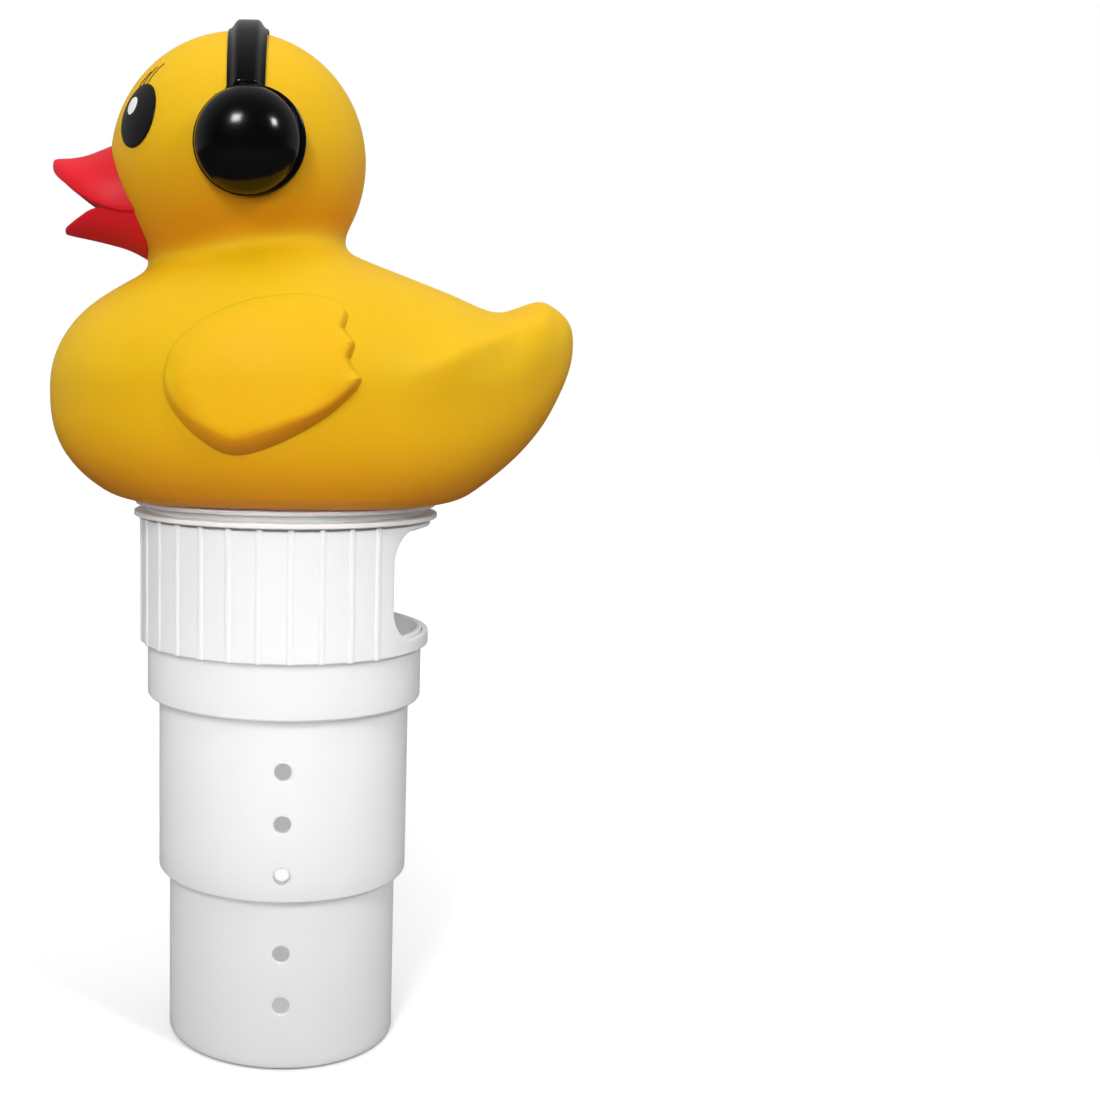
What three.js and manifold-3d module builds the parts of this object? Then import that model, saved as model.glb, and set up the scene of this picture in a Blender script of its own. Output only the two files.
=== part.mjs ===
// Floating chlorine dispenser: a hollow duck float with headphones, screwed onto a vent body
// with a turning flow sleeve and two telescoping, perforated tablet tubes.
//
// Units are millimetres. +Z is up. The duck looks towards -Y and its tail points to +Y.
// The origin is on the tube axis at the underside of the lowest tube, with the tubes drawn out.

import * as THREE from 'three';
import { mergeVertices } from 'three/addons/utils/BufferGeometryUtils.js';
import Module from 'manifold-3d';

const wasm = await Module();
wasm.setup();

// ---------------------------------------------------------------- driving dimensions

const GAP = 0.3; // clearance between pieces that touch or run in each other
const FACETS = 40; // facets round a tube
const TUBE_WALL = 1.8;
const BEAD_HEIGHT = 3; // stop bead at the top of each tube
const LIP_HEIGHT = 2; // inward lip that the next tube's bead hangs on

const LOWER_RADIUS = 42.7;
const MIDDLE_RADIUS = 46.7;
const BODY_RADIUS = 51.05;
const LOWER_FOOT = 0;
const MIDDLE_FOOT = 63.2;
const BODY_FOOT = 128.75;

const VENT_RADIUS = 3.1;
const VENT_COLUMNS = 4;
const LOWER_VENTS = [23.5, 42.7];
const MIDDLE_VENTS = [72.5, 91.3, 110.1];

const FLANGE_RADIUS = 56;
const FLANGE_FOOT = 195.8;
const FLANGE_TOP = 197.6;
const COLLAR_TOP = 199.8; // smooth collar between the flange and the screw neck
const NECK_RADIUS = 49.3;
const NECK_BORE = 47.5;
const NECK_TOP = 211;

const SLEEVE_BORE = 51.45;
const SLEEVE_RADIUS = 53.6;
const SLEEVE_FOOT = 149.3;
const SLEEVE_TOP = 195.2;
const SNAP_HEIGHT = 151; // middle of the bead that keeps the sleeve on the body
const RIB_COUNT = 31;
const RIB_WIDTH = 1.5;
const RIB_RISE = 0.7;
const RIB_START = 2.1; // degrees from +X to the first rib

const WINDOW_WIDTH = 75.2;
const WINDOW_SILL = 154.3;
const WINDOW_HEAD = 193.2;
const WINDOW_CORNER = 12;
const WINDOW_MARGIN = 0.9; // how much smaller the body's own window is all round

const SCREW_LEAD = 24; // rise of the cap per turn
const SCREW_STARTS = 4;
const RIDGE_HEIGHT = 1.8;
const RIDGE_SWEEP = 60; // degrees that each thread ridge runs round

const CAP_BORE = 51;
const CAP_RADIUS = 52.5;
const CAP_FOOT = 200.1;
const CAP_ROOF = 213.9;
const PLATE_RADIUS = 55.4;
const PLATE_THICKNESS = 1.6;
const SNAP_RING_RADIUS = 54;

const DUCK_FLOOR = 202;
const DUCK_WALL = 2.2;
const HEAD_CENTRE = new THREE.Vector3(0, -18.2, 322.1);
const HEAD_RADIUS = 45.9;

const EAR_CENTRE = new THREE.Vector3(0, -13.3, 323.8); // where the ear axis crosses the mid-plane
const EAR_RING_RADIUS = 18.7;
const EAR_RING_FACE = 47.8;
const EAR_DOME_RADIUS = 17.1;
const EAR_DOME_RISE = 12.2;
const EAR_PEG_RADIUS = 4;
const EAR_RECESS = 1; // depth of the recess in the ring's face that the dome's boss sits in

const STRAP_WIDTH = 13.6;
const STRAP_PLANE = -14; // the strap's middle, just ahead of the ear axis
const STRAP_THICKNESS = 3.2;
const STRAP_RIB_WIDTH = 9.7;
const STRAP_RIB_RISE = 1.5;
const STRAP_END_ANGLE = 27; // degrees above the ear axis where the strap ends

const BEAK_PEG_RADIUS = 8;
const BEAK_PEG_HEIGHT = 309;

const WHITE = { color: 0xeeeeee, roughness: 0.45, metalness: 0 };
const YELLOW = { color: 0xf0b41c, roughness: 0.6, metalness: 0 };
const RED = { color: 0xe0202c, roughness: 0.5, metalness: 0 };
const BLACK = { color: 0x101010, roughness: 0.15, metalness: 0 };
const GREY_RUBBER = { color: 0x6c6f72, roughness: 0.8, metalness: 0 };

// ---------------------------------------------------------------- solids

function manifoldOf(geometry) {
  const bare = geometry.clone();
  bare.deleteAttribute('normal');
  bare.deleteAttribute('uv');
  const merged = mergeVertices(bare, 1e-4);
  const corners = merged.index.array;
  const kept = [];
  for (let i = 0; i < corners.length; i += 3) {
    const [a, b, c] = corners.slice(i, i + 3);
    if (a !== b && b !== c && c !== a) kept.push(a, b, c);
  }
  return new wasm.Manifold(new wasm.Mesh({
    numProp: 3,
    vertProperties: new Float32Array(merged.attributes.position.array),
    triVerts: new Uint32Array(kept),
  }));
}

function geometryOf(manifold) {
  const mesh = manifold.getMesh();
  const geometry = new THREE.BufferGeometry();
  geometry.setAttribute('position', new THREE.BufferAttribute(mesh.vertProperties, 3));
  geometry.setIndex(new THREE.BufferAttribute(mesh.triVerts, 1));
  geometry.computeVertexNormals();
  return geometry;
}

function joined(...manifolds) {
  return manifolds.reduce((whole, piece) => whole.add(piece));
}

function cut(manifold, ...cutters) {
  return cutters.reduce((rest, cutter) => rest.subtract(cutter), manifold);
}

// A profile of [radius, height] pairs, listed anticlockwise, turned about the Z axis.
function revolved(profile, facets = FACETS) {
  const points = profile.map(([radius, height]) => new THREE.Vector2(radius, height));
  const geometry = new THREE.LatheGeometry(points, facets);
  return geometry.rotateX(Math.PI / 2);
}

function closed(profile) {
  return [...profile, profile[0]];
}

function cylinderAlong(axis, radius, start, end, facets = 24) {
  const geometry = new THREE.CylinderGeometry(radius, radius, end - start, facets);
  geometry.translate(0, (start + end) / 2, 0);
  if (axis === 'x') geometry.rotateZ(-Math.PI / 2);
  if (axis === 'z') geometry.rotateX(Math.PI / 2);
  return geometry;
}

function ball(centre, radius, around = 22, down = 14) {
  const geometry = new THREE.SphereGeometry(radius, around, down);
  geometry.rotateX(Math.PI / 2);
  return manifoldOf(geometry.translate(centre.x, centre.y, centre.z));
}

// Everything below a height, for cutting bodies flat.
function below(height) {
  const reach = 400;
  const block = new THREE.BoxGeometry(reach, reach, reach);
  return manifoldOf(block.translate(0, 0, height - reach / 2));
}

// Smooth interpolation of one field of a list of stations, by their angle.
function alongStations(stations, field, angle) {
  const last = stations.length - 1;
  let i = 0;
  while (i < last - 1 && angle > stations[i + 1].angle) i += 1;
  const slope = (k) => {
    const from = stations[Math.max(k - 1, 0)];
    const to = stations[Math.min(k + 1, last)];
    return (to[field] - from[field]) / (to.angle - from.angle);
  };
  const [from, to] = [stations[i], stations[i + 1]];
  const span = to.angle - from.angle;
  const t = (angle - from.angle) / span;
  const rise = to[field] - from[field];
  const bend = (1 - t) * (slope(i) * span - rise) - t * (slope(i + 1) * span - rise);
  return from[field] + t * rise + t * (1 - t) * bend;
}

// A rounded body whose length runs along Y. A station's angle goes from 0 at the front tip to
// 180 at the rear tip, and gives the heights of its top and underside and its half width there.
// It is widest at its waist, which is halfway up unless the stations give it.
// Its sections are superellipses: a power of 2 is an ellipse, and a higher one is squarer.
function swollen({ middle, reach, stations, powers }, inset = 0, around = 26, along = 18) {
  const geometry = new THREE.SphereGeometry(1, around, along);
  const position = geometry.attributes.position;
  const point = new THREE.Vector3();
  for (let i = 0; i < position.count; i += 1) {
    point.fromBufferAttribute(position, i);
    const angle = THREE.MathUtils.radToDeg(Math.acos(THREE.MathUtils.clamp(-point.y, -1, 1)));
    const ring = Math.hypot(point.x, point.z) || 1; // 0 only at the two tips
    const top = alongStations(stations, 'top', angle);
    const under = alongStations(stations, 'under', angle);
    const half = alongStations(stations, 'half', angle);
    const hasWaist = stations[0].waist !== undefined;
    const waist = hasWaist ? alongStations(stations, 'waist', angle) : (top + under) / 2;
    const rise = point.z > 0 ? top - waist : waist - under;
    const power = point.z > 0 ? powers.above : powers.below;
    const bulge = (value) => Math.sign(value) * Math.abs(value / ring) ** (2 / power);
    position.setXYZ(
      i,
      bulge(point.x) * Math.max(half - inset, 0),
      middle + point.y * (reach - inset),
      waist + bulge(point.z) * Math.max(rise - inset, 0),
    );
  }
  return manifoldOf(geometry);
}

// ---------------------------------------------------------------- telescoping tubes

// One vent through the wall at each column, for each height.
function ventCutters(heights, radius) {
  const cutters = [];
  for (const height of heights) {
    for (let column = 0; column < VENT_COLUMNS; column += 1) {
      const drill = cylinderAlong('x', VENT_RADIUS, radius - 6, radius + 6, 12);
      drill.rotateZ((column * 2 * Math.PI) / VENT_COLUMNS);
      cutters.push(manifoldOf(drill.translate(0, 0, height)));
    }
  }
  return cutters;
}

function lowerTube() {
  const beadTop = MIDDLE_FOOT + LIP_HEIGHT + GAP + BEAD_HEIGHT;
  const beadRadius = LOWER_RADIUS + 1.7;
  const bore = LOWER_RADIUS - TUBE_WALL;
  const tube = revolved([
    [0, LOWER_FOOT],
    [LOWER_RADIUS - 1, LOWER_FOOT],
    [LOWER_RADIUS, LOWER_FOOT + 1],
    [LOWER_RADIUS, beadTop - BEAD_HEIGHT],
    [beadRadius, beadTop - BEAD_HEIGHT],
    [beadRadius, beadTop],
    [bore, beadTop],
    [bore, LOWER_FOOT + TUBE_WALL],
    [0, LOWER_FOOT + TUBE_WALL],
  ]);
  return cut(manifoldOf(tube), ...ventCutters(LOWER_VENTS, LOWER_RADIUS));
}

function middleTube() {
  const beadTop = BODY_FOOT + LIP_HEIGHT + GAP + BEAD_HEIGHT;
  const beadRadius = MIDDLE_RADIUS + 2.2;
  const bore = MIDDLE_RADIUS - TUBE_WALL;
  const tube = revolved(closed([
    [LOWER_RADIUS + GAP, MIDDLE_FOOT],
    [MIDDLE_RADIUS - 1, MIDDLE_FOOT],
    [MIDDLE_RADIUS, MIDDLE_FOOT + 1],
    [MIDDLE_RADIUS, beadTop - BEAD_HEIGHT],
    [beadRadius, beadTop - BEAD_HEIGHT],
    [beadRadius, beadTop],
    [bore, beadTop],
    [bore, MIDDLE_FOOT + LIP_HEIGHT],
    [LOWER_RADIUS + GAP, MIDDLE_FOOT + LIP_HEIGHT],
  ]));
  return cut(manifoldOf(tube), ...ventCutters(MIDDLE_VENTS, MIDDLE_RADIUS));
}

// ---------------------------------------------------------------- vent body and flow sleeve

// A window with rounded corners, pressed through the wall on the tail side.
function windowCutter(margin) {
  const half = WINDOW_WIDTH / 2 - margin;
  const sill = WINDOW_SILL + margin;
  const head = WINDOW_HEAD - margin;
  const corner = WINDOW_CORNER;
  const outline = new THREE.Shape();
  outline.moveTo(-half + corner, sill);
  outline.lineTo(half - corner, sill);
  outline.absarc(half - corner, sill + corner, corner, -Math.PI / 2, 0, false);
  outline.absarc(half - corner, head - corner, corner, 0, Math.PI / 2, false);
  outline.absarc(-half + corner, head - corner, corner, Math.PI / 2, Math.PI, false);
  outline.absarc(-half + corner, sill + corner, corner, Math.PI, 1.5 * Math.PI, false);
  const reach = 70;
  const geometry = new THREE.ExtrudeGeometry(outline, {
    depth: reach - 20,
    bevelEnabled: false,
    curveSegments: 5,
  });
  geometry.rotateX(Math.PI / 2);
  return manifoldOf(geometry.translate(0, reach, 0));
}

class Helix extends THREE.Curve {
  constructor(radius, height, startAngle) {
    super();
    this.radius = radius;
    this.height = height;
    this.startAngle = startAngle;
  }

  getPoint(t, target = new THREE.Vector3()) {
    const turn = THREE.MathUtils.degToRad(this.startAngle + t * RIDGE_SWEEP);
    return target.set(
      this.radius * Math.cos(turn),
      this.radius * Math.sin(turn),
      this.height + (t * RIDGE_SWEEP * SCREW_LEAD) / 360,
    );
  }
}

// The thread: one short ridge per start, from an inner to an outer radius.
function threadRidges(inner, outer, height, startAngle) {
  const half = { high: RIDGE_HEIGHT / 2, deep: (outer - inner) / 2 };
  const section = new THREE.Shape([
    new THREE.Vector2(-half.high, -half.deep),
    new THREE.Vector2(half.high, -half.deep),
    new THREE.Vector2(half.high, half.deep),
    new THREE.Vector2(-half.high, half.deep),
  ]);
  const ridges = [];
  for (let start = 0; start < SCREW_STARTS; start += 1) {
    const angle = startAngle + (start * 360) / SCREW_STARTS;
    const path = new Helix((inner + outer) / 2, height, angle);
    ridges.push(manifoldOf(new THREE.ExtrudeGeometry(section, { steps: 8, extrudePath: path })));
  }
  return ridges;
}

function ventBody() {
  const bore = MIDDLE_RADIUS + 2.2 + GAP;
  const snapRadius = BODY_RADIUS + 0.9;
  const shell = revolved(closed([
    [MIDDLE_RADIUS + GAP, BODY_FOOT],
    [BODY_RADIUS - 1.5, BODY_FOOT],
    [BODY_RADIUS, BODY_FOOT + 1.5],
    [BODY_RADIUS, SNAP_HEIGHT - 0.9],
    [snapRadius, SNAP_HEIGHT],
    [BODY_RADIUS, SNAP_HEIGHT + 0.9],
    [BODY_RADIUS, FLANGE_FOOT],
    [FLANGE_RADIUS, FLANGE_FOOT],
    [FLANGE_RADIUS, FLANGE_TOP],
    [BODY_RADIUS, FLANGE_TOP],
    [BODY_RADIUS, COLLAR_TOP],
    [NECK_RADIUS, COLLAR_TOP],
    [NECK_RADIUS, NECK_TOP],
    [NECK_BORE, NECK_TOP],
    [NECK_BORE, COLLAR_TOP + 0.1],
    [bore, COLLAR_TOP + 0.1],
    [bore, BODY_FOOT + LIP_HEIGHT],
    [MIDDLE_RADIUS + GAP, BODY_FOOT + LIP_HEIGHT],
  ]));
  const ridges = threadRidges(NECK_RADIUS - 0.4, NECK_RADIUS + 1.3, 204.5, 0);
  return joined(cut(manifoldOf(shell), windowCutter(WINDOW_MARGIN)), ...ridges);
}

function flowSleeve() {
  const grooveRadius = BODY_RADIUS + 0.9 + GAP;
  const shell = revolved(closed([
    [SLEEVE_BORE, SLEEVE_FOOT],
    [SLEEVE_RADIUS, SLEEVE_FOOT],
    [SLEEVE_RADIUS, SLEEVE_TOP],
    [SLEEVE_BORE, SLEEVE_TOP],
    [SLEEVE_BORE, SNAP_HEIGHT + 1.3],
    [grooveRadius, SNAP_HEIGHT + 0.3],
    [grooveRadius, SNAP_HEIGHT - 0.3],
    [SLEEVE_BORE, SNAP_HEIGHT - 1.3],
  ]));
  const ribs = [];
  for (let i = 0; i < RIB_COUNT; i += 1) {
    const angle = RIB_START + (i * 360) / RIB_COUNT;
    const fromTail = Math.abs(((angle - 90 + 540) % 360) - 180);
    if (fromTail < 50) continue; // the window and its frame carry no ribs
    const height = SLEEVE_TOP - SLEEVE_FOOT;
    const rib = new THREE.BoxGeometry(2 * RIB_RISE, RIB_WIDTH, height);
    rib.translate(SLEEVE_RADIUS - 0.05, 0, SLEEVE_FOOT + height / 2);
    ribs.push(manifoldOf(rib.rotateZ(THREE.MathUtils.degToRad(angle))));
  }
  return cut(joined(manifoldOf(shell), ...ribs), windowCutter(0));
}

// ---------------------------------------------------------------- screw cap and gasket

function screwCap() {
  const plateTop = CAP_FOOT + PLATE_THICKNESS;
  const snapFoot = DUCK_FLOOR + DUCK_WALL + GAP;
  const roofTop = CAP_ROOF + TUBE_WALL;
  const shell = revolved([
    [0, CAP_ROOF],
    [CAP_BORE, CAP_ROOF],
    [CAP_BORE, CAP_FOOT],
    [PLATE_RADIUS, CAP_FOOT],
    [PLATE_RADIUS, plateTop],
    [CAP_RADIUS, plateTop],
    [CAP_RADIUS, snapFoot],
    [SNAP_RING_RADIUS, snapFoot],
    [CAP_RADIUS, snapFoot + 2],
    [CAP_RADIUS, roofTop],
    [0, roofTop],
  ]);
  const drop = RIDGE_HEIGHT + GAP; // its ridges run just under the neck's ridges
  return joined(manifoldOf(shell), ...threadRidges(CAP_BORE - 1.3, CAP_BORE + 0.4, 204.5 - drop, 0));
}

function capGasket() {
  return manifoldOf(revolved(closed([
    [NECK_BORE, NECK_TOP + GAP],
    [CAP_BORE - GAP - 0.3, NECK_TOP + GAP],
    [CAP_BORE - GAP - 0.3, CAP_ROOF - GAP],
    [NECK_BORE, CAP_ROOF - GAP],
  ])));
}

// ---------------------------------------------------------------- duck

const DUCK_BODY = {
  middle: 9.1,
  reach: 95.1,
  powers: { above: 2.2, below: 2.9 },
  stations: [
    { angle: 0, top: 241, under: 241, half: 0 },
    { angle: 15, top: 256.5, under: 223.9, half: 23 },
    { angle: 30, top: 269.5, under: 211, half: 41 },
    { angle: 45, top: 279.6, under: 201.4, half: 55 },
    { angle: 60, top: 289, under: 194, half: 65 },
    { angle: 75, top: 295, under: 190.5, half: 70.5 },
    { angle: 90, top: 294.6, under: 189.5, half: 71.5 },
    { angle: 105, top: 285.9, under: 192, half: 66.5 },
    { angle: 120, top: 277.2, under: 199.5, half: 55 },
    { angle: 135, top: 269.4, under: 212.3, half: 39.5 },
    { angle: 150, top: 274.1, under: 227.5, half: 25 },
    { angle: 160, top: 271.2, under: 239.6, half: 17 },
    { angle: 170, top: 266.2, under: 250, half: 9 },
    { angle: 180, top: 259, under: 259, half: 0 },
  ],
};

const UPPER_BILL = {
  middle: -60,
  reach: 25,
  powers: { above: 2, below: 2.6 },
  stations: [
    { angle: 0, top: 321.6, waist: 321.6, under: 321.6, half: 0 },
    { angle: 30, top: 323.6, waist: 317, under: 314.6, half: 10 },
    { angle: 60, top: 324.8, waist: 310.8, under: 308.2, half: 17.5 },
    { angle: 90, top: 329, waist: 308, under: 305.2, half: 20.8 },
    { angle: 120, top: 330, waist: 307, under: 304, half: 20 },
    { angle: 180, top: 318, waist: 318, under: 318, half: 0 },
  ],
};

const LOWER_BILL = {
  middle: -58,
  reach: 22.8,
  powers: { above: 2.6, below: 2 },
  stations: [
    { angle: 0, top: 298.3, waist: 298.3, under: 298.3, half: 0 },
    { angle: 30, top: 301.4, waist: 299.4, under: 296, half: 8.5 },
    { angle: 60, top: 305.2, waist: 302.8, under: 294.6, half: 14.5 },
    { angle: 90, top: 306.8, waist: 304.4, under: 290.8, half: 18 },
    { angle: 120, top: 306.8, waist: 304.4, under: 288, half: 17 },
    { angle: 180, top: 300, waist: 300, under: 300, half: 0 },
  ],
};

// A flattened egg that stands a little proud of the flank.
function wing(side) {
  const geometry = new THREE.SphereGeometry(1, 16, 10);
  geometry.scale(8, 34, 20);
  geometry.rotateX(THREE.MathUtils.degToRad(18));
  return manifoldOf(geometry.translate(side * 66.5, -8, 247));
}

function duckShell() {
  const beakHole = cylinderAlong('y', BEAK_PEG_RADIUS + GAP, -75, -40);
  const earHoles = cylinderAlong('x', EAR_PEG_RADIUS + GAP, -60, 60);
  const capHole = cylinderAlong('z', CAP_RADIUS + GAP, DUCK_FLOOR - 5, DUCK_FLOOR + 5, FACETS);
  const outside = cut(
    joined(swollen(DUCK_BODY), ball(HEAD_CENTRE, HEAD_RADIUS), wing(1), wing(-1)),
    below(DUCK_FLOOR),
  );
  const inside = cut(
    joined(swollen(DUCK_BODY, DUCK_WALL), ball(HEAD_CENTRE, HEAD_RADIUS - DUCK_WALL)),
    below(DUCK_FLOOR + DUCK_WALL),
  );
  return cut(
    outside,
    inside,
    manifoldOf(capHole),
    manifoldOf(beakHole.translate(0, 0, BEAK_PEG_HEIGHT)),
    manifoldOf(earHoles.translate(0, EAR_CENTRE.y, EAR_CENTRE.z)),
  );
}

function beak() {
  const bills = joined(swollen(UPPER_BILL, 0, 18, 10), swollen(LOWER_BILL, 0, 18, 10));
  const peg = cylinderAlong('y', BEAK_PEG_RADIUS, -68, -56).translate(0, 0, BEAK_PEG_HEIGHT);
  return joined(cut(bills, ball(HEAD_CENTRE, HEAD_RADIUS + GAP)), manifoldOf(peg));
}

// ---------------------------------------------------------------- headphones

// A strap of T section: a flat band with a raised rib along its middle.
function headband() {
  const inner = HEAD_RADIUS + GAP;
  const section = new THREE.Shape();
  const half = STRAP_WIDTH / 2;
  const ribHalf = STRAP_RIB_WIDTH / 2;
  section.moveTo(-half, 0);
  section.lineTo(half, 0);
  section.lineTo(half, STRAP_THICKNESS);
  section.lineTo(ribHalf + 0.5, STRAP_THICKNESS);
  section.lineTo(ribHalf, STRAP_THICKNESS + STRAP_RIB_RISE);
  section.lineTo(-ribHalf, STRAP_THICKNESS + STRAP_RIB_RISE);
  section.lineTo(-ribHalf - 0.5, STRAP_THICKNESS);
  section.lineTo(-half, STRAP_THICKNESS);
  section.closePath();
  class Arch extends THREE.Curve {
    getPoint(t, target = new THREE.Vector3()) {
      const sweep = 180 - 2 * STRAP_END_ANGLE;
      const turn = THREE.MathUtils.degToRad(STRAP_END_ANGLE + t * sweep);
      return target.set(
        inner * Math.cos(turn),
        STRAP_PLANE,
        HEAD_CENTRE.z + inner * Math.sin(turn),
      );
    }
  }
  return manifoldOf(new THREE.ExtrudeGeometry(section, { steps: 24, extrudePath: new Arch() }));
}

// Turns a profile about the ear axis and sets it on the left (+X) or right (-X) side.
function onEar(profile, side) {
  const geometry = revolved(profile, 24);
  geometry.rotateY((side * Math.PI) / 2);
  return manifoldOf(geometry.translate(0, EAR_CENTRE.y, EAR_CENTRE.z));
}

function earRing(side) {
  const ring = onEar([
    [0, 36],
    [EAR_RING_RADIUS, 36],
    [EAR_RING_RADIUS, EAR_RING_FACE - 1],
    [EAR_RING_RADIUS - 1, EAR_RING_FACE],
    [EAR_PEG_RADIUS, EAR_RING_FACE],
    [EAR_PEG_RADIUS, EAR_RING_FACE - EAR_RECESS],
    [0, EAR_RING_FACE - EAR_RECESS],
  ], side);
  const peg = cylinderAlong('x', EAR_PEG_RADIUS, 40, EAR_RING_FACE - EAR_RECESS).scale(side, 1, 1);
  if (side < 0) peg.index.array.reverse();
  const seated = cut(ring, ball(HEAD_CENTRE, HEAD_RADIUS + GAP));
  return joined(seated, manifoldOf(peg.translate(0, EAR_CENTRE.y, EAR_CENTRE.z)));
}

function earDome(side) {
  const foot = EAR_RING_FACE + GAP;
  const arc = [];
  for (let degrees = 0; degrees <= 90; degrees += 15) {
    const turn = THREE.MathUtils.degToRad(degrees);
    const radius = degrees === 90 ? 0 : EAR_DOME_RADIUS * Math.cos(turn);
    arc.push([radius, foot + EAR_DOME_RISE * Math.sin(turn)]);
  }
  const boss = EAR_PEG_RADIUS - GAP;
  return onEar([[0, foot - EAR_RECESS], [boss, foot - EAR_RECESS], [boss, foot], ...arc], side);
}

// ---------------------------------------------------------------- assembly

const dispenser = new THREE.Group();

function place(name, manifold, finish) {
  const mesh = new THREE.Mesh(geometryOf(manifold), new THREE.MeshStandardMaterial(finish));
  mesh.name = name;
  dispenser.add(mesh);
}

place('lower_tube', lowerTube(), WHITE);
place('middle_tube', middleTube(), WHITE);
place('vent_body', ventBody(), WHITE);
place('flow_sleeve', flowSleeve(), WHITE);
place('screw_cap', screwCap(), WHITE);
place('cap_gasket', capGasket(), GREY_RUBBER);
place('duck_shell', duckShell(), YELLOW);
place('beak', beak(), RED);
place('headband', headband(), BLACK);
place('ear_ring_left', earRing(1), BLACK);
place('ear_ring_right', earRing(-1), BLACK);
place('ear_dome_left', earDome(1), BLACK);
place('ear_dome_right', earDome(-1), BLACK);

export default dispenser;
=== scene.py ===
"""Looks of the floating chlorine dispenser: a duck float with headphones on a telescoping tube.

Lengths are worked out in millimetres and turned into metres when a mesh is made.
+Z is up, the duck looks towards -Y, and the tube axis is the Z axis.
"""

import math
from contextlib import contextmanager

import bmesh
import bpy
import numpy as np
from mathutils import Matrix, Vector


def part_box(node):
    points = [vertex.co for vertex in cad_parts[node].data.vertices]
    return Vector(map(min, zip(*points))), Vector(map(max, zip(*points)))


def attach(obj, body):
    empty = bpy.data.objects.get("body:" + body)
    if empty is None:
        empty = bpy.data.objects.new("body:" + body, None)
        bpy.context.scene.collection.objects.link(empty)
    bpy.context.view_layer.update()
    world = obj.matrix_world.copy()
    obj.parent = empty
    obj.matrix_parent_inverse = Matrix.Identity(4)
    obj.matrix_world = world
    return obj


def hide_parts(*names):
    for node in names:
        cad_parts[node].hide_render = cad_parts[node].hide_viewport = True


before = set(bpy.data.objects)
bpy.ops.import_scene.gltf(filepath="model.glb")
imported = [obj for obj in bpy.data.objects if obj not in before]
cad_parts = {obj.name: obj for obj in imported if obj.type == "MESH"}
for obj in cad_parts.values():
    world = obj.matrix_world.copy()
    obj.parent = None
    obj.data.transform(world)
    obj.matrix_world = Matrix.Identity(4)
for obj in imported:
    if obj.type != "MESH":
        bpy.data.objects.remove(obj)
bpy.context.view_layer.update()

MM = 0.001
TAU = 2 * math.pi


def node_box(node):
    """Lowest and highest corner of a CAD node, in millimetres."""
    low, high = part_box(node)
    return np.array(low) / MM, np.array(high) / MM


# ---- meshes


def placed(name, data):
    """Puts a new object with this data into the scene."""
    made = bpy.data.objects.new(name, data)
    bpy.context.scene.collection.objects.link(made)
    return made


def object_from(name, points, faces):
    """Makes an object from points in millimetres."""
    mesh = bpy.data.meshes.new(name)
    mesh.from_pydata((np.asarray(points, float) * MM).tolist(), [], [list(f) for f in faces])
    return placed(name, mesh)


@contextmanager
def editing(mesh):
    """Opens a mesh for editing and writes it back."""
    work = bmesh.new()
    work.from_mesh(mesh)
    yield work
    work.to_mesh(mesh)
    work.free()


def tidy_mesh(mesh):
    """Merges points that coincide and turns all faces outwards."""
    with editing(mesh) as work:
        bmesh.ops.remove_doubles(work, verts=work.verts, dist=0.002 * MM)
        bmesh.ops.dissolve_degenerate(work, edges=work.edges, dist=0.0005 * MM)
        bmesh.ops.recalc_face_normals(work, faces=work.faces)


def mesh_piece(name, points, faces, body, slot, replaces=(), sharp=40.0):
    """Makes a smooth-shaded piece from points in millimetres, and sets it on its body."""
    piece = object_from(name, points, faces)
    tidy_mesh(piece.data)
    finish_piece(piece, body, slot, replaces, sharp)
    return piece


def finish_piece(piece, body, slot, replaces=(), sharp=40.0):
    """Shades a piece, gives it its material and sets it on its body."""
    mesh = piece.data
    mesh.polygons.foreach_set("use_smooth", [True] * len(mesh.polygons))
    mesh.set_sharp_from_angle(angle=math.radians(sharp))
    mesh.materials.clear()
    mesh.materials.append(MATERIALS[slot])
    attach(piece, body)
    if replaces:
        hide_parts(*replaces)


def grid_faces(rows, columns, wrap_rows=False, first=0):
    """Quads of rows of points that each close on themselves, numbered row by row from first."""
    faces = []
    for i in range(rows if wrap_rows else rows - 1):
        for j in range(columns):
            below = first + i * columns
            above = first + (i + 1) % rows * columns
            beside = (j + 1) % columns
            faces.append((below + j, below + beside, above + beside, above + j))
    return faces


def ended_tube(rows, first=0):
    """Points and faces of rows of points that each close on themselves, with flat ends."""
    points = np.asarray(rows)
    count, around = points.shape[:2]
    ends = [tuple(range(start, start + around)) for start in (first, first + (count - 1) * around)]
    return points.reshape(-1, 3), grid_faces(count, around, first=first) + ends


def looped_piece(name, rows, *finish, wrap_rows=False):
    """Makes a piece from rows of points that each close on themselves."""
    rows = np.asarray(rows)
    mesh_piece(name, rows.reshape(-1, 3), grid_faces(*rows.shape[:2], wrap_rows), *finish)


def even_angles(count):
    return np.arange(count) * TAU / count


STRAIGHT = -0.985  # cosine between a corner's two sides beyond which it stays as it is
SIDE_SHARE = 0.45  # of each side that a corner's arc may take


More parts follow.
